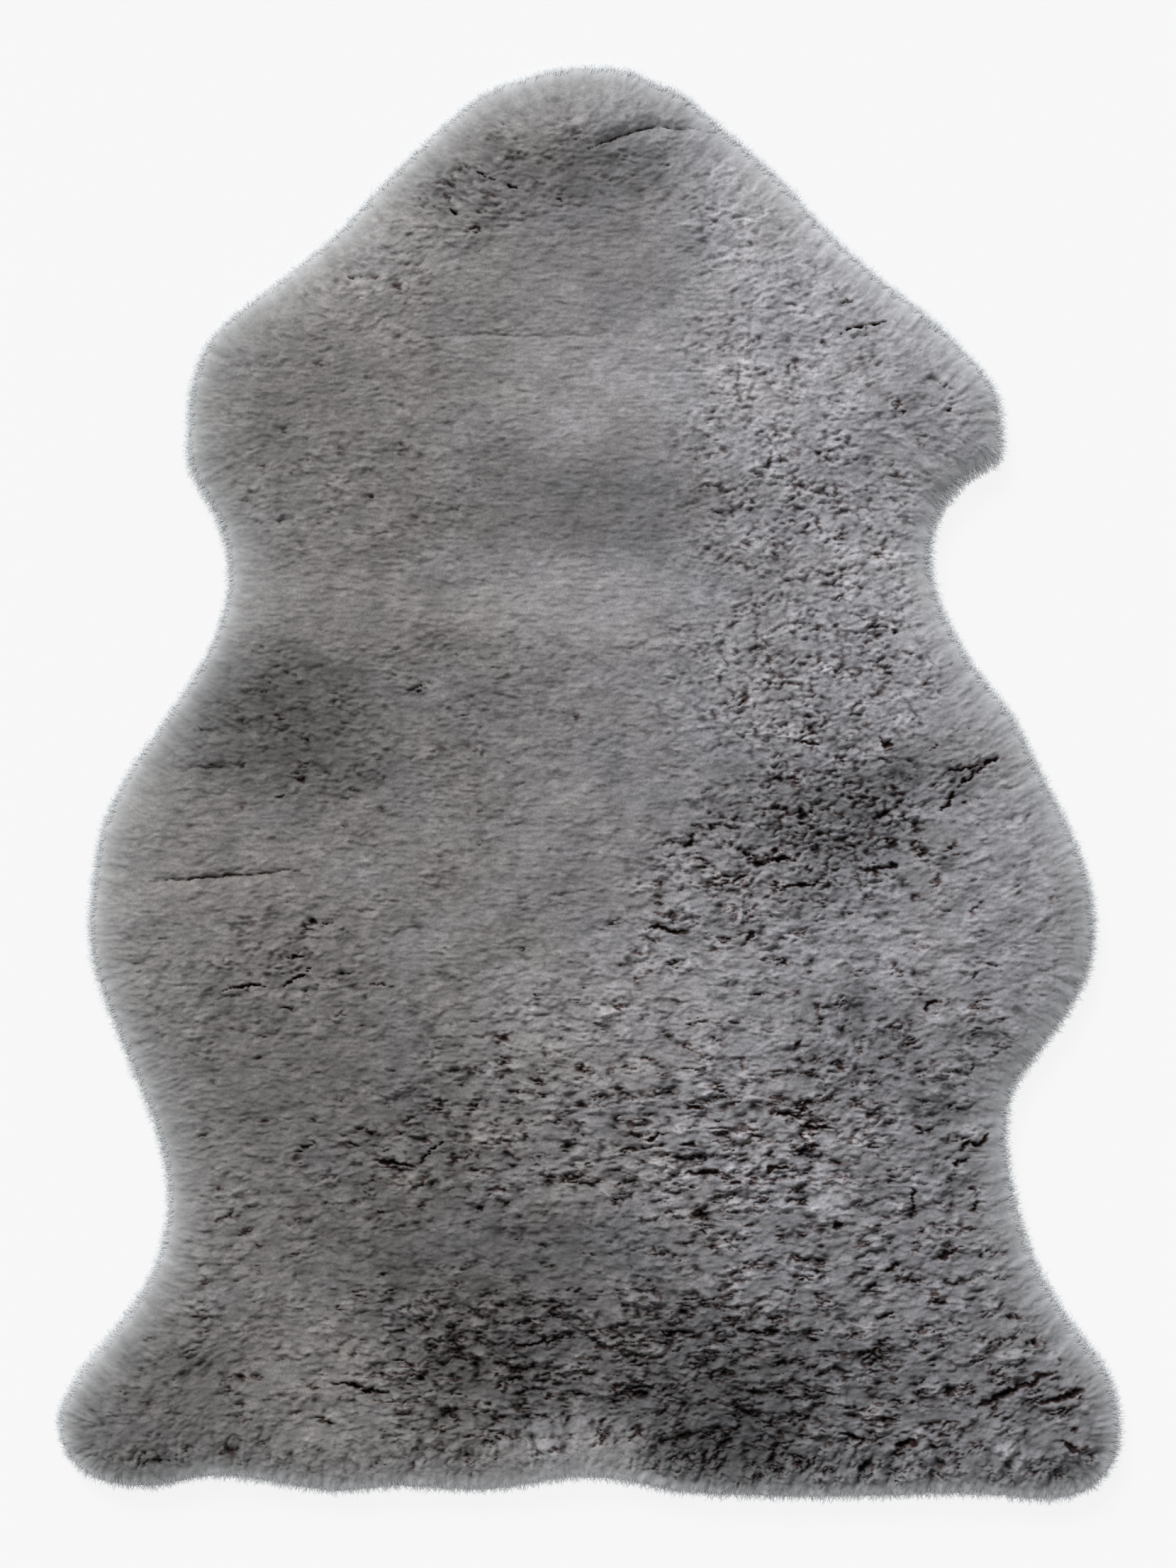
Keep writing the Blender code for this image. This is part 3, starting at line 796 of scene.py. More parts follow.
def drawn_out(across, along, combing, grain):
    """Noise whose features are drawn out along the combing."""
    length, width, seed = grain
    total = np.zeros(across.shape)
    weights = np.full(across.shape, 1e-9)
    for number, tilt in enumerate(TILTS):
        angle = math.radians(tilt)
        off = np.abs((combing - angle + math.pi / 2) % math.pi - math.pi / 2)
        weight = np.clip(1.0 - off / math.radians(TILT_STEP), 0.0, 1.0)
        u = across * math.cos(angle) + along * math.sin(angle)
        v = along * math.cos(angle) - across * math.sin(angle)
        total += weight * smooth_noise(u / length, v / width, seed + number)
        weights += weight ** 2
    return total / np.sqrt(weights)


def cracks(across, along, combing, rough, nubby):
    """Depth of the long wandering cracks, from 0 to 1."""
    level = drawn_out(across, along, combing, CRACK_GRAIN)
    level += noise(across, along, "crack_wobble")
    broken = noise(across, along, "crack_gaps") + rough - FEWER_CRACKS_IN_NUBS * nubby
    gain, least, most = CRACKS_BY_ROUGHNESS
    share = eased(broken, *CRACKS_BEGIN) * np.clip(gain * rough, least, most)
    return np.clip(1.0 - CRACK_SHARPNESS * np.abs(level), 0.0, 1.0) * share


def to_line(across, along, start, end):
    """Distance from points to a straight piece, and how far along it they are."""
    run = np.subtract(end, start)
    share = ((across - start[0]) * run[0] + (along - start[1]) * run[1]) / (run @ run)
    share = np.clip(share, 0.0, 1.0)
    gap = np.hypot(across - start[0] - run[0] * share, along - start[1] - run[1] * share)
    return gap, share


def partings(across, along):
    """Depths of the long partings: their soft troughs, and the slits in their middles."""
    wobble = noise(across, along, "parting_wobble")
    drift = noise(across, along, "parting_drift")
    breaks = eased(noise(across, along, "parting_breaks"), *SLIT_BREAKS)
    across = across + wobble
    along = along + drift + wobble
    trough = np.zeros(across.shape)
    slit = np.zeros(across.shape)
    for _, points, half_width, trough_depth, slit_depth in PARTINGS:
        pieces = list(zip(points, points[1:]))
        for number, (start, end) in enumerate(pieces):
            gap, share = to_line(across, along, np.array(start) * MM, np.array(end) * MM)
            ends = np.sin(math.pi * between(PARTING_ENDS, (number + share) / len(pieces)))
            side = np.clip(1.0 - (gap / (half_width * MM)) ** 2, 0.0, 1.0)
            trough = np.maximum(trough, trough_depth * MM * ends * side ** 2)
            narrow = np.clip(1.0 - gap / (SLIT_HALF_WIDTH * ends + 1e-6), 0.0, 1.0)
            narrow = narrow * between((SLIT_LEFT, 1.0), breaks)
            slit = np.maximum(slit, slit_depth * MM * ends * narrow)
    return trough, slit


def beside(across, along, x, y, tilt):
    """Places as they lie along and beside a mark at x, y in millimetres, tilted by degrees."""
    cos, sin = math.cos(math.radians(tilt)), math.sin(math.radians(tilt))
    right = across - x * MM
    up = along - y * MM
    return right * cos + up * sin, up * cos - right * sin


def deep_clefts(across, along):
    """Depth of the deepest clefts, from 0 to 1: ragged rows of pits with thin necks."""
    shift = noise(across, along, "deep_cleft_bends") + noise(across, along, "deep_cleft_wobble")
    mean, least, most = NECKS
    ragged = np.clip(mean + noise(across, along, "deep_cleft_necks"), least, most)
    deepest = np.zeros(across.shape)
    for x, y, length, width, tilt in DEEP_CLEFTS:
        u, v = beside(across, along, x, y, tilt)
        taper = np.clip(1.0 - (u / (length * MM / 2)) ** 2, 0.0, 1.0)
        side = np.abs(v + shift) / (width * MM / 2 * np.sqrt(taper) * ragged + 1e-7)
        deep = np.clip(DEEP_CLEFT_SIDES * (1.0 - side), 0.0, 1.0)
        deepest = np.maximum(deepest, np.sqrt(taper) * deep)
    return deepest


def spots(across, along):
    """Rise of the single locks and hollows, their painted highlight and shade, and how whole they
    are.
    """
    rise = np.zeros(across.shape)
    shade = np.zeros(across.shape)
    whole = np.zeros(across.shape)
    for _, x, y, reach_u, reach_v, tilt, height, change in SPOTS:
        u, v = beside(across, along, x, y, tilt)
        near = np.exp(-(u / (reach_u * MM)) ** 2 - (v / (reach_v * MM)) ** 2)
        rise += height * MM * near
        shade += change * near
        if height > 0:
            whole = np.maximum(whole, near)
    return rise, shade, whole


# ================ the whole surface

def rounding_over(inset):
    """Height of the wool over the floor at a distance inside the tips, and its slope."""
    share = np.clip((inset - FULLEST_INSET) / ROUNDING, 1e-4, 1.0)
    inner = np.clip(1.0 - (1.0 - share) ** ROUNDING_POWER, 1e-6, 1.0)
    rise = inner ** (1.0 / ROUNDING_POWER)
    steep = inner ** (1.0 / ROUNDING_POWER - 1.0) * (1.0 - share) ** (ROUNDING_POWER - 1.0)
    full = WOOL_HEIGHT - FULLEST_HEIGHT
    return FULLEST_HEIGHT + full * rise, full * steep / ROUNDING


def lump_rise(across, along):
    """Sum of the swells and hollows at each point."""
    total = noise(across, along, "unevenness")
    for _, x, y, radius, rise in LUMPS:
        gap = ((across - x * MM) ** 2 + (along - y * MM) ** 2) / (radius * MM) ** 2
        total += rise * MM * np.clip(1.0 - gap, 0.0, 1.0) ** 2
    return total


def wandered(across, along):
    """The same points shifted about a little, so that tufts get uneven edges."""
    right, up = (
        noise(across, along, name + "_fine") + noise(across, along, name)
        for name in ("wander_across", "wander_along")
    )
    return across + right, along + up


def all_clefts(across, along):
    """The deepest cleft at each point, and the highest lip."""
    cleft = np.zeros(across.shape)
    lip = np.zeros(across.shape)
    for layer in CLEFTS:
        deep, under = clefts(across, along, layer)
        cleft = np.maximum(cleft, deep)
        lip = np.maximum(lip, under)
    return cleft, lip


def strands(tips, inset):
    """Noise drawn out into strands that run out to the tips."""
    return sum(
        strength * smooth_noise(tips[:, 0] / width, tips[:, 1] / width + inset / length, seed)
        for width, length, strength, seed in STRANDS
    )


def all_tufts(across, along, nubby):
    """Heights and shades of the clumps, of the tufts and of the nubs."""
    clump, clump_shade = tufts(across, along, CLUMPS)
    long_tufts = tufts(across, along, LONG_TUFTS)
    round_tufts = tufts(across, along, ROUND_TUFTS)
    tuft, tuft_shade = (between(ends, nubby) for ends in zip(long_tufts, round_tufts))
    clump = np.clip(clump, *TUFT_LIMITS) - TUFT_MIDDLE
    tuft = np.clip(tuft, *TUFT_LIMITS) - TUFT_MIDDLE
    return (clump, clump_shade), (tuft, tuft_shade), tufts(across, along, NUBS)


def openings(here, shifted, combing, rough, nubby, hollow, calm):
    """Depths of the clefts and the cracks, less on clumps and locks, and the clefts' lips."""
    cleft, lip = all_clefts(*(between(ends, CLEFT_WANDER) for ends in zip(here, shifted)))
    cleft = cleft * between(CLEFTS_AMONG_NUBS, nubby) * between((CLEFTS_ON_CLUMPS, 1.0), hollow)
    crack = cracks(*here, combing, rough, nubby)
    return cleft, crack * between((CRACKS_ON_CLUMPS, 1.0), hollow) * calm, lip


def small_relief(across, along, tips, inset):
    """The tufts, nubs and clefts at each point, and how these shade the wool."""
    rough = roughness_at(across, along)
    nubby = from_map("nubby", across, along)
    combing = combing_at(across, along)
    x, y = wandered(across, along)
    (clump, clump_shade), (tuft, tuft_shade), (nub, nub_shade) = all_tufts(x, y, nubby)
    spot_rise, spot_painted_light, whole = spots(x, y)
    calm = 1.0 - CALM_LOCKS * whole
    hollow = np.clip(0.5 - 0.9 * clump, 0.0, 1.0) * calm
    cleft, crack, lip = openings((across, along), (x, y), combing, rough, nubby, hollow, calm)
    streak = sum(
        strength * drawn_out(across, along, combing, grain) for strength, grain in STREAKS
    )
    trough, slit = partings(across, along)
    deep_cleft = deep_clefts(x, y)
    # Painted shade on the low ground between tufts: it darkens the colour and leaves the surface
    # as it is.
    valley_shade = np.clip(-(0.30 + tuft) * (0.55 + 0.75 * nubby), 0.0, 0.6) * rough * calm

    combed = eased(inset, *COMBED_RIM)
    loose = combed * (0.4 + 0.9 * cool_at(across, along))
    fan = loose * strands(tips, inset)
    clumpy = rough * (1.0 - FLATTER_NUBS * nubby)
    pebbly = PEBBLES * nubby * eased(inset, *PEBBLES_BEGIN)
    height = (0.3 + 0.7 * rough) * noise(across, along, "swell")
    height += (0.5 + 0.5 * rough) * noise(across, along, "small_swell")
    height += (SMOOTH_RISE + TUFT_RISE * (rough + 0.5 * pebbly)) * tuft
    height += CLUMP_RISE * clumpy * clump
    height += (SMOOTH_RISE + NUB_RISE * rough * (1.0 + nubby)) * nub
    height += STRAND_RISE * fan + STREAK_RISE * streak + spot_rise + CLEFT_LIP * lip
    height -= trough + slit
    height -= CLEFT_DEPTH * cleft + CRACK_DEPTH * crack + DEEP_CLEFT_DEPTH * deep_cleft

    # Painted shade: the share of the wool's colour that the clefts, slits, cracks, deep clefts and
    # the low ground between tufts take away.
    slit_shade = np.clip(slit / SLIT_FULL_SHADE_DEPTH, 0.0, 1.0)
    dark = np.maximum.reduce([cleft, slit_shade, valley_shade, 0.95 * crack, deep_cleft])
    # Painted highlight and shade: the tone rises with the height of the tufts, clumps, pebbles and
    # nubs, so their tops are lighter and the ground between them darker. Rough and pebbly wool is
    # lighter overall, streaks and strands are lighter where they rise, and the shades of single
    # tufts, clumps and nubs are the wool's own tone, at random.
    tone_and_painted_light = 1.0 + rough * (0.30 + 0.55 * tuft + 0.35 * tuft_shade + 0.25 * nubby * nub)
    tone_and_painted_light += pebbly * (0.30 + 0.60 * tuft + 0.50 * tuft_shade)
    tone_and_painted_light += clumpy * (0.72 * clump + 0.52 * clump_shade)
    tone_and_painted_light += 0.20 * nub_shade * (0.6 + 0.4 * rough) + STRAND_SHADE * fan
    tone_and_painted_light += (0.07 + 0.08 * combed + 0.16 * rough) * streak * (1.0 - 0.9 * nubby)
    # The spots' painted highlight and shade scale the tone.
    return height, dark, np.maximum(tone_and_painted_light, 0.2) * (1.0 + spot_painted_light)


def surface(across, along):
    """Everything about the fleece at points inside the outline."""
    inset, way, tips = nearest_tip(across, along)
    height, slope = rounding_over(inset)
    fullness = np.clip(inset / ROUNDING, 0.0, 1.0)
    height = height + lump_rise(across, along) * fullness
    relief, dark, tone_and_painted_light = small_relief(across, along, tips, inset)
    upright = 1.0 / np.sqrt(1.0 + slope ** 2)
    normal = np.concatenate([way * (slope * upright)[:, None], upright[:, None]], axis=1)
    points = np.stack([across, along, height], axis=1) + normal * relief[:, None]
    pale = pale_tip_and_glow_at(along, inset) * low_wall(height)
    return points, {
        # The cleft attribute carries the painted shade; the tone carries the wool's lightness with
        # its painted highlight and shade.
        "cleft": dark,
        "tone_and_painted_light": tone_and_painted_light * shade_at(across, along),
        "pale": pale * (1.0 + STRAND_PALENESS * strands(tips, inset)),
        "cool": cool_at(across, along),
    }


def shade_at(across, along):
    """The wool's lightness, partly its own tone and partly painted light and shade, as a share of
    the body colour.
    """
    grey = from_map("grey", across, along)
    grey = grey * (1.0 + noise(across, along, "shade"))
    grey = grey * (1.0 + noise(across, along, "small_shade"))
    return (grey / BODY_GREY) ** GAMMA


def cool_at(across, along):
    """How bluish the wool is: brownish on the left, bluish on the right."""
    return np.clip(eased(across, *COOL_SIDES) + noise(across, along, "tint"), 0.0, 1.0)


def pale_tip_and_glow_at(along, inset):
    """How pale the wool is towards its loose tips: partly their own paleness, partly a painted
    glow of light through them.
    """
    at_tail = eased(-along, *TAIL_BEGINS)
    depth = np.maximum(inset, 0.0)
    total = np.zeros(depth.shape)
    for bands in PALE_TIP_AND_GLOW_BANDS:
        strength, reach = (between(ends, at_tail) for ends in zip(*bands))
        total += strength * np.exp(-depth / reach)
    return np.clip(total, 0.0, 1.0)


def low_wall(height):
    """Share of the paleness that is left low on the rim's wall, where wool shades wool."""
    return between((WALL_PALE, 1.0), eased(height, *WALL_HEIGHTS))


# ================ meshes

def skirt_profile():
    """Insets and heights down the rim: over the edge, then back under to the hide."""
    insets = np.linspace(SKIRT_INSET, FULLEST_INSET, SKIRT_SAMPLES[0])
    over = np.stack([insets, rounding_over(insets)[0]], axis=1)
    turn = np.linspace(0.0, 1.0, SKIRT_SAMPLES[1])[1:]
    under_inset = between((FULLEST_INSET, HIDE_INSET + MM), turn ** SKIRT_TURN[0])
    under_height = between((FULLEST_HEIGHT, HIDE_THICKNESS * 0.6), turn ** SKIRT_TURN[1])
    profile = np.vstack([over, np.stack([under_inset, under_height], axis=1)])
    return spaced(
        profile, lambda length: np.linspace(0.0, length, round(length / SKIRT_STEP) + 1)
    )


def make_skirt():
    """Points and faces of the rim, row by row from the top inwards under the wool."""
    profile = skirt_profile()
    rows = [shrunk(OUTLINE, inset) for inset, _ in profile]
    places = np.vstack(rows)
    points, values = surface(places[:, 0], places[:, 1])
    turned = int(np.argmin(profile[:, 0]))
    for number in range(turned + 1, len(profile)):
        part = slice(number * RING_POINTS, (number + 1) * RING_POINTS)
        points[part, :2] = rows[number]
        points[part, 2] = profile[number, 1]
        # Less of the painted glow under the rim's turn, painted darker there since it lies in
        # shade.
        values["pale"][part] *= UNDER_PALE
    index = np.arange(len(profile) * RING_POINTS).reshape(len(profile), RING_POINTS)
    after = np.roll(index, -1, axis=1)
    faces = np.stack([index[:-1], after[:-1], after[1:], index[1:]], axis=2).reshape(-1, 4)
    triangles = np.vstack([faces[:, [0, 1, 2]], faces[:, [0, 2, 3]]])
    return points, values, triangles, rows[0]


def rows_inside(ring):
    """Points in even rows inside a ring, close along the rug and wider across it."""
    after = np.roll(ring, -1, axis=0)
    rng = np.random.default_rng(JITTER_SEED)
    rows = []
    levels = np.arange(ring[:, 1].min(), ring[:, 1].max(), PITCH_ALONG)
    for number, along in enumerate(levels, start=1):
        crosses = (ring[:, 1] > along) != (after[:, 1] > along)
        here, there = ring[crosses], after[crosses]
        share = (along - here[:, 1]) / (there[:, 1] - here[:, 1])
        sides = np.sort(here[:, 0] + (there[:, 0] - here[:, 0]) * share)
        for left, right in zip(sides[::2], sides[1::2]):
            first = math.ceil(left / PITCH_ACROSS)
            last = math.floor(right / PITCH_ACROSS)
            across = (np.arange(first, last) + 0.5 * (number % 2)) * PITCH_ACROSS
            rows.append(np.stack([across, np.full(across.shape, along)], axis=1))
    places = np.vstack(rows)
    shift = rng.uniform(-1.0, 1.0, places.shape) * POINT_JITTER
    return places + shift * [PITCH_ACROSS, PITCH_ALONG]


def fill_outline(flat, ring_count):
    """Triangles, facing up, inside the closed ring that the first points make."""
    ring = [list(range(ring_count))[::-1]]
    inside_only = 1
    found = geometry.delaunay_2d_cdt(
        [Vector(place) for place in flat.tolist()], [], ring, inside_only, MERGE_LIMIT
    )
    if len(found[0]) != len(flat):
        raise ValueError("the ring crosses itself or runs through a loose point")
    triangles = np.array(found[2])
    a, b, c = (flat[triangles[:, k]] for k in range(3))
    ab, ac = b - a, c - a
    faces_down = ab[:, 0] * ac[:, 1] - ab[:, 1] * ac[:, 0] < 0
    triangles[faces_down] = triangles[faces_down][:, ::-1]
    return triangles


def make_top(border, border_points, border_values):
    """Points and triangles of the fleece inside the rim, sharing the rim's first row."""
    places = rows_inside(border)
    places = places[nearest(border, places)[1] > PITCH_ALONG]
    squeeze = [PITCH_ALONG / PITCH_ACROSS * SQUEEZE, 1.0]
    flat = np.vstack([border, places]) * squeeze
    triangles = fill_outline(flat, len(border))
    points, values = surface(places[:, 0], places[:, 1])
    points = np.vstack([border_points, points])
    values = {name: np.concatenate([border_values[name], values[name]]) for name in values}
    return points, values, triangles


def vertex_normals(points, triangles):
    """Smooth normals, weighted by area."""
    a, b, c = (points[triangles[:, k]] for k in range(3))
    face = np.cross(b - a, c - a)
    total = np.zeros(points.shape)
    for k in range(3):
        for axis in range(3):
            total[:, axis] += np.bincount(triangles[:, k], face[:, axis], len(points))
    return total / np.maximum(np.linalg.norm(total, axis=1, keepdims=True), 1e-12)


def lifted(normals, pale):
    """Normals turned upwards where the wool is loose and pale, and lets light through."""
    turned = normals + np.stack([0.0 * pale, 0.0 * pale, RIM_LIFT * pale], axis=1)
    return turned / np.maximum(np.linalg.norm(turned, axis=1, keepdims=True), 1e-9)


def seen_from_above(points, triangles):
    """A place on the flat map for each corner, laid out as the piece looks from above."""
    places = points[triangles.ravel(), :2]
    low = places.min(axis=0)
    high = places.max(axis=0)
    return MAP_MARGIN + (1.0 - 2.0 * MAP_MARGIN) * (places - low) / (high - low)


def unrolled(triangles):
    """The same for the rim, cut into strips that lie one above another."""
    column = triangles % RING_POINTS
    row = triangles // RING_POINTS
    first = column[:, :1]
    length = RING_POINTS // RIM_STRIPS
    run = (column - first) % RING_POINTS + first % length
    up = MAP_MARGIN + (1.0 - 2.0 * MAP_MARGIN) * row / row.max()
    strip = first // length
    return np.stack([run / length, (strip + up) / RIM_STRIPS], axis=2).reshape(-1, 2)


def link(name, data):
    """A new object of this data, in the scene."""
    thing = bpy.data.objects.new(name, data)
    bpy.context.scene.collection.objects.link(thing)
    return thing


def add_piece(name, points, faces, corners, normals, values, material):
    """Make an object of these points and faces, shaded with the given normals."""
    data = bpy.data.meshes.new(name)
    data.from_pydata(points.tolist(), [], faces)
    data.shade_smooth()
    flat_map = data.uv_layers.new(name=FLAT_MAP)
    flat_map.data.foreach_set("uv", np.ascontiguousarray(corners, dtype=np.float32).ravel())
    for key, value in values.items():
        layer = data.attributes.new(key, "FLOAT", "POINT")
        layer.data.foreach_set("value", np.ascontiguousarray(value, dtype=np.float32))
    data.normals_split_custom_set_from_vertices(normals.tolist())
    data.materials.append(material)
    return link(name, data)


def add_part(name, points, triangles, corners, normals, values, material):
    """Make a piece of some of a surface's triangles."""
    used = np.unique(triangles)
    renumbered = np.zeros(len(points), int)
    renumbered[used] = np.arange(len(used))
    own = {key: value[used] for key, value in values.items()}
    faces = renumbered[triangles].tolist()
    return add_piece(name, points[used], faces, corners, normals[used], own, material)


def make_fleece(material):
    """The whole fleece: its rim, and its top in four bands with one run of normals."""
    rim_points, rim_values, rim_triangles, border = make_skirt()
    first_row = {name: value[:RING_POINTS] for name, value in rim_values.items()}
    top = make_top(border, rim_points[:RING_POINTS], first_row)
    top_points, top_values, top_triangles = top
    points = np.vstack([rim_points, top_points[RING_POINTS:]])
    shared = np.concatenate(
        [np.arange(RING_POINTS), np.arange(len(rim_points), len(points))]
    )
    values = {
        name: np.concatenate([rim_values[name], top_values[name][RING_POINTS:]])
        for name in rim_values
    }
    top_triangles = shared[top_triangles]
    normals = vertex_normals(points, np.vstack([rim_triangles, top_triangles]))
    normals = lifted(normals, values["pale"])
    corners = unrolled(rim_triangles)
    pieces = [add_part("fleece_rim", points, rim_triangles, corners, normals, values, material)]
    middles = points[top_triangles].mean(axis=1)[:, 1] / MM
    upper = math.inf
    for name, lower in BANDS:
        chosen = top_triangles[(middles < upper) & (middles >= lower)]
        corners = seen_from_above(points, chosen)
        pieces.append(add_part(name, points, chosen, corners, normals, values, material))
        upper = lower
    return pieces


def fibre_map(shares):
    """A small cell of the flat map for each fibre."""
    cells = math.ceil(math.sqrt(FIBRES))
    number = np.arange(FIBRES)
    cell = np.stack([number % cells, number // cells], axis=1)
    sides = np.array([float(k % 2) for k in range(len(shares) - 1)] + [0.5])
    within = MAP_MARGIN + FIBRE_MAP_SIZE * np.stack([sides, shares], axis=1)
    return ((cell[:, None] + within[None]) / cells).reshape(-1, 2)


def fibre_roots(rng):
    """Where the fibres stand: on the rim's rounding, or under its fullest line."""
    insets = rng.uniform(*FIBRE_INSET, FIBRES)
    chosen = rng.integers(0, RING_POINTS, FIBRES)
    places = OUTLINE[chosen] - outward(OUTLINE)[chosen] * insets[:, None]
    inset, way, _ = nearest_tip(places[:, 0], places[:, 1])
    height, slope = rounding_over(inset)
    height += lump_rise(places[:, 0], places[:, 1]) * np.clip(inset / ROUNDING, 0.0, 1.0)
    low = rng.random(FIBRES) < LOW_FIBRES
    height = np.where(low, rng.uniform(*LOW_FIBRE_HEIGHTS, FIBRES), height)
    root_inset = np.where(low, FULLEST_INSET, inset)
    places = places + way * (inset - root_inset)[:, None]
    upright = np.where(low, LOW_FIBRE_UPRIGHT, 1.0 / np.sqrt(1.0 + slope ** 2))
    return places, way, root_inset, height, upright, low


def fibre_points(rng, places, way, height, upright):
    """The fibres' points in rows from root to tip, their roots, and the wool's normals."""
    outness = np.sqrt(1.0 - upright ** 2)
    normal = np.concatenate([way * outness[:, None], upright[:, None]], axis=1)
    down_slope = np.concatenate([way * upright[:, None], -outness[:, None]], axis=1)
    sideways = np.stack([-way[:, 1], way[:, 0], np.zeros(FIBRES)], axis=1)
    length = rng.uniform(*FIBRE_LENGTH, FIBRES)
    length = length * (1.0 - TAIL_FIBRES_SHORTER * eased(-places[:, 1], *TAIL_BEGINS))
    width = rng.uniform(*FIBRE_WIDTH, FIBRES)
    lean = rng.normal(0.0, FIBRE_LEAN, FIBRES)
    lift = rng.uniform(*FIBRE_LIFT, FIBRES)
    curl = rng.normal(0.0, FIBRE_CURL, FIBRES)
    root = np.stack([places[:, 0], places[:, 1], height], axis=1) - normal * ROOT_DEPTH
    rows = []
    for share, wide in FIBRE_ROWS:
        reach = down_slope * share + sideways * (lean * share + curl * share ** 2)[:, None]
        reach = reach + normal * (lift * share * (1.0 - FIBRE_DROOP * share))[:, None]
        middle = root + reach * length[:, None]
        middle[:, 2] = np.maximum(middle[:, 2], between(FLOOR_CLEARANCE, share))
        edge = sideways * (width * wide / 2)[:, None]
        rows += [middle - edge, middle + edge] if wide else [middle]
    return np.stack(rows, axis=1), root, normal


def make_fibres(material):
    """Loose fibres that lean out of the rim: narrow ribbons that taper to a point."""
    rng = np.random.default_rng(FIBRE_SEED)
    places, way, root_inset, height, upright, low = fibre_roots(rng)
    points, root, normal = fibre_points(rng, places, way, height, upright)
    per_fibre = points.shape[1]
    first = np.arange(FIBRES) * per_fibre
    quads = [np.stack([first + k, first + k + 2, first + k + 3, first + k + 1], 1) for k in (0, 2)]
    ends = np.stack([first + 4, first + 6, first + 5], axis=1)
    faces = np.vstack(quads).tolist() + ends.tolist()
    corner_points = np.concatenate([np.vstack(quads).ravel(), ends.ravel()])
    tone_and_painted_light = shade_at(places[:, 0], places[:, 1]) ** 0.5 * rng.uniform(*FIBRE_SHADES, FIBRES)
    # The fibres' paleness: partly their own pale tips, partly a painted glow, with painted shade
    # low under the rim.
    root_pale = pale_tip_and_glow_at(places[:, 1], root_inset) * low_wall(height)
    shares = np.array([share for share, wide in FIBRE_ROWS for _ in range(2 if wide else 1)])
    run = np.sum((points[:, -1, :2] - root[:, :2]) * way, axis=1)
    tip_pale = between(TIP_PALE, eased(root_inset - run, *TIP_REACH))
    tip_pale = tip_pale * np.where(low, LOW_TIP_PALE, 1.0)
    pale = between((root_pale[:, None], tip_pale[:, None]), shares[None, :])
    cool = cool_at(places[:, 0], places[:, 1])
    values = {
        "cleft": np.zeros(FIBRES * per_fibre),
        "tone_and_painted_light": np.repeat(tone_and_painted_light, per_fibre),
        "pale": pale.ravel(),
        "cool": np.repeat(cool, per_fibre),
    }
    normals = lifted(np.repeat(normal, per_fibre, axis=0), values["pale"])
    corners = fibre_map(shares)[corner_points]
    points = points.reshape(-1, 3)
    return add_piece("rim_fibres", points, faces, corners, normals, values, material)


def make_hide(material):
    """The tanned hide under the wool: a thin sheet, bare underneath."""
    edge = evenly(shrunk(OUTLINE, HIDE_INSET), HIDE_POINTS)
    inner = [
        evenly(shrunk(OUTLINE, HIDE_INSET + step * MM), HIDE_POINTS - HIDE_THINNING * k)
        for k, step in enumerate(HIDE_RINGS)
    ]
    flat = np.vstack([edge] + inner)
    triangles = fill_outline(flat, len(edge))
    count = len(flat)
    bottom = np.concatenate([flat, np.zeros((count, 1))], axis=1)
    top = np.concatenate([flat, np.full((count, 1), HIDE_THICKNESS)], axis=1)
    ring = np.arange(len(edge))
    after = np.roll(ring, -1)
    wall = np.stack([ring, ring + count, after + count, after], axis=1)
    faces = triangles[:, ::-1].tolist() + (triangles + count).tolist() + wall.tolist()
    data = bpy.data.meshes.new("hide")
    data.from_pydata(np.vstack([bottom, top]).tolist(), [], faces)
    data.materials.append(material)
    next_one = np.roll(edge, -1, axis=0)
    area = abs(np.sum(edge[:, 0] * next_one[:, 1] - next_one[:, 0] * edge[:, 1])) / 2
    return link("hide", data), edge.max(axis=0) - edge.min(axis=0), area


# ================ materials

def new_material(name):
    """A material with its main shader, and a helper that adds nodes to it."""
    material = bpy.data.materials.new(name)
    material.use_nodes = True
    tree = material.node_tree

    def add(kind, inputs=None, **settings):
        """Add a node, whose inputs are each given a value or the output that feeds it."""
        node = tree.nodes.new(kind)
        for key, value in settings.items():
            setattr(node, key, value)
        feed(node, inputs or {})
        return node

    def feed(node, inputs):
        for key, value in inputs.items():
            if isinstance(value, bpy.types.NodeSocket):
                tree.links.new(value, node.inputs[key])
            else:
                node.inputs[key].default_value = value

    return material, tree.nodes["Principled BSDF"], add, feed


def add_noise(add, place, kind):
    """A noise texture on the object's own coordinates, and the shades that it gives."""
    (scale, detail, roughness), (low, high), (dark, light) = kind
    inputs = {"Vector": place, "Scale": scale, "Detail": detail, "Roughness": roughness}
    level = add("ShaderNodeTexNoise", inputs).outputs["Fac"]
    inputs = {"Value": level, "From Min": low, "From Max": high, "To Min": dark, "To Max": light}
    return level, add("ShaderNodeMapRange", inputs, clamp=False).outputs["Result"]


def multiply(add, first, second):
    """Product of two values."""
    return add("ShaderNodeMath", {0: first, 1: second}, operation="MULTIPLY").outputs["Value"]


def mix(add, share, first, second):
    """A colour between two others."""
    inputs = {"Factor": share, "A": first, "B": second}
    return add("ShaderNodeMix", inputs, data_type="RGBA").outputs["Result"]


def darken(add, colour, share):
    """A colour times a value."""
    inputs = {0: colour, "Scale": share}
    return add("ShaderNodeVectorMath", inputs, operation="SCALE").outputs["Vector"]


def roughen(add, height, bump):
    """A normal that follows a fine relief."""
    inputs = {"Height": height, "Strength": bump[0], "Distance": bump[1]}
    return add("ShaderNodeBump", inputs).outputs["Normal"]


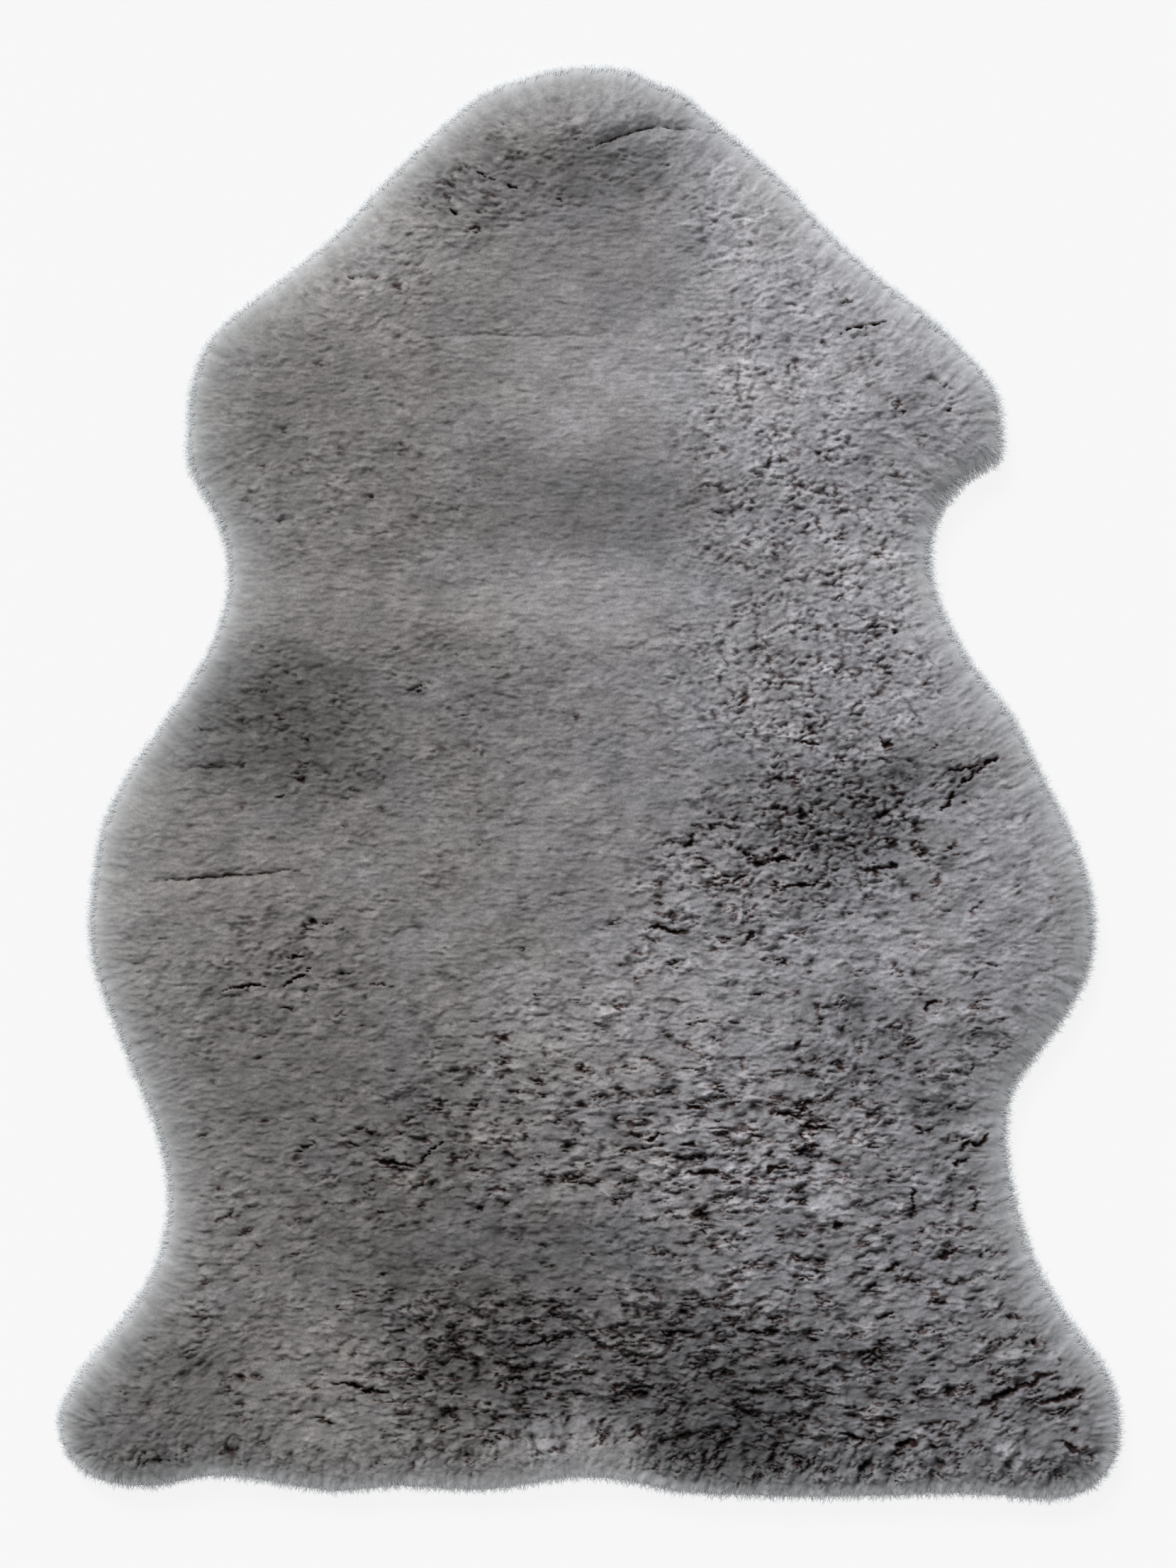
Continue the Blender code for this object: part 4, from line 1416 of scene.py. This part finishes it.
def make_wool():
    """Grey wool: mottled, with painted shade darker and warmer in its clefts, and pale and bluish
    at the rim, partly with a painted glow.
    """
    material, shader, add, feed = new_material("wool")
    place = add("ShaderNodeTexCoord").outputs["Object"]
    grain, grain_shade = add_noise(add, place, WOOL_GRAIN)
    _, mottle_shade = add_noise(add, place, WOOL_MOTTLE)
    cleft, tone_and_painted_light, pale, cool = (
        add("ShaderNodeAttribute", attribute_name=name).outputs["Fac"]
        for name in ("cleft", "tone_and_painted_light", "pale", "cool")
    )
    shade = multiply(add, multiply(add, tone_and_painted_light, grain_shade), mottle_shade)
    toned = darken(add, mix(add, cool, WARM_WOOL, COOL_WOOL), shade)
    paled = mix(add, pale, toned, PALE_TIP_AND_GLOW_COLOUR)

    # Painted shade: the ramp darkens the colour by the cleft attribute.
    ramp = add("ShaderNodeValToRGB", {"Fac": cleft})
    stops = ramp.color_ramp.elements
    stops[0].position, stops[0].color = PAINTED_SHADE_RAMP[0]
    stops[1].position, stops[1].color = PAINTED_SHADE_RAMP[-1]
    for position, colour in PAINTED_SHADE_RAMP[1:-1]:
        stop = stops.new(position)
        stop.color = colour
    inputs = {0: paled, 1: ramp.outputs["Color"]}
    shadowed = add("ShaderNodeVectorMath", inputs, operation="MULTIPLY").outputs["Vector"]
    feed(shader, {
        "Base Color": shadowed,
        "Normal": roughen(add, grain, WOOL_BUMP),
        "Roughness": 0.9,
        "Specular IOR Level": 0.15,
    })
    return material


def make_suede():
    """Bare suede: cream, cloudy and finely napped."""
    material, shader, add, feed = new_material("hide")
    place = add("ShaderNodeTexCoord").outputs["Object"]
    nap, nap_shade = add_noise(add, place, HIDE_NAP)
    _, cloud_shade = add_noise(add, place, HIDE_CLOUDS)
    shade = multiply(add, nap_shade, cloud_shade)
    feed(shader, {
        "Base Color": darken(add, HIDE_COLOUR, shade),
        "Normal": roughen(add, nap, HIDE_BUMP),
        "Roughness": 0.95,
        "Specular IOR Level": 0.2,
    })
    return material


# ================ floor, light and camera

def make_floor():
    """A plain pale floor that glows a little, as a lit table does, so shadows stay faint."""
    material, shader, _, feed = new_material("floor")
    feed(shader, {
        "Base Color": FLOOR_COLOUR,
        "Emission Color": (1.0, 1.0, 1.0, 1.0),
        "Emission Strength": FLOOR_GLOW,
        "Roughness": 1.0,
        "Specular IOR Level": 0.0,
    })
    half = FLOOR_SIZE / 2
    data = bpy.data.meshes.new("floor")
    corners = [(-half, -half, 0), (half, -half, 0), (half, half, 0), (-half, half, 0)]
    data.from_pydata(corners, [], [(0, 1, 2, 3)])
    data.materials.append(material)
    floor = link("floor", data)
    floor.location.z = -FLOOR_DROP


def make_light():
    """One soft key from the top left, and an even sky."""
    light = bpy.data.lights.new("key", "SUN")
    light.energy = KEY_STRENGTH
    light.angle = KEY_SOFTNESS
    key = link("key", light)
    key.rotation_euler = Vector(KEY_FROM).to_track_quat("Z", "Y").to_euler()
    world = bpy.data.worlds.new("studio")
    world.use_nodes = True
    background = world.node_tree.nodes["Background"]
    background.inputs["Color"].default_value = (1.0, 1.0, 1.0, 1.0)
    background.inputs["Strength"].default_value = SKY_STRENGTH
    bpy.context.scene.world = world


def make_camera():
    """A camera straight above that frames the rug as the photo does."""
    lens = bpy.data.cameras.new("camera")
    camera = link("camera", lens)
    bpy.context.scene.camera = camera
    across = (PHOTO_WIDTH / 2 - PHOTO_MIDDLE[0]) * METRES_PER_PIXEL
    along = (PHOTO_MIDDLE[1] - PHOTO_HEIGHT / 2) * METRES_PER_PIXEL
    camera.location = (across, along, CAMERA_HEIGHT)
    lens.sensor_fit = "VERTICAL"
    lens.sensor_height = SENSOR
    lens.lens = SENSOR * CAMERA_HEIGHT / (PHOTO_HEIGHT * METRES_PER_PIXEL)
    lens.clip_end = CAMERA_REACH


# ================ the rug

def make_rug():
    """Make every piece, hang each on the root body, and hide the CAD model's sheepskin."""
    wool = make_wool()
    pieces = make_fleece(wool) + [make_fibres(wool)]
    for piece in pieces:
        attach(piece, "root")
        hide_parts("sheepskin")
    hide, size, area = make_hide(make_suede())
    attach(hide, "root")


make_camera()
make_floor()
make_light()
make_rug()
bpy.context.scene.view_settings.view_transform = "Standard"
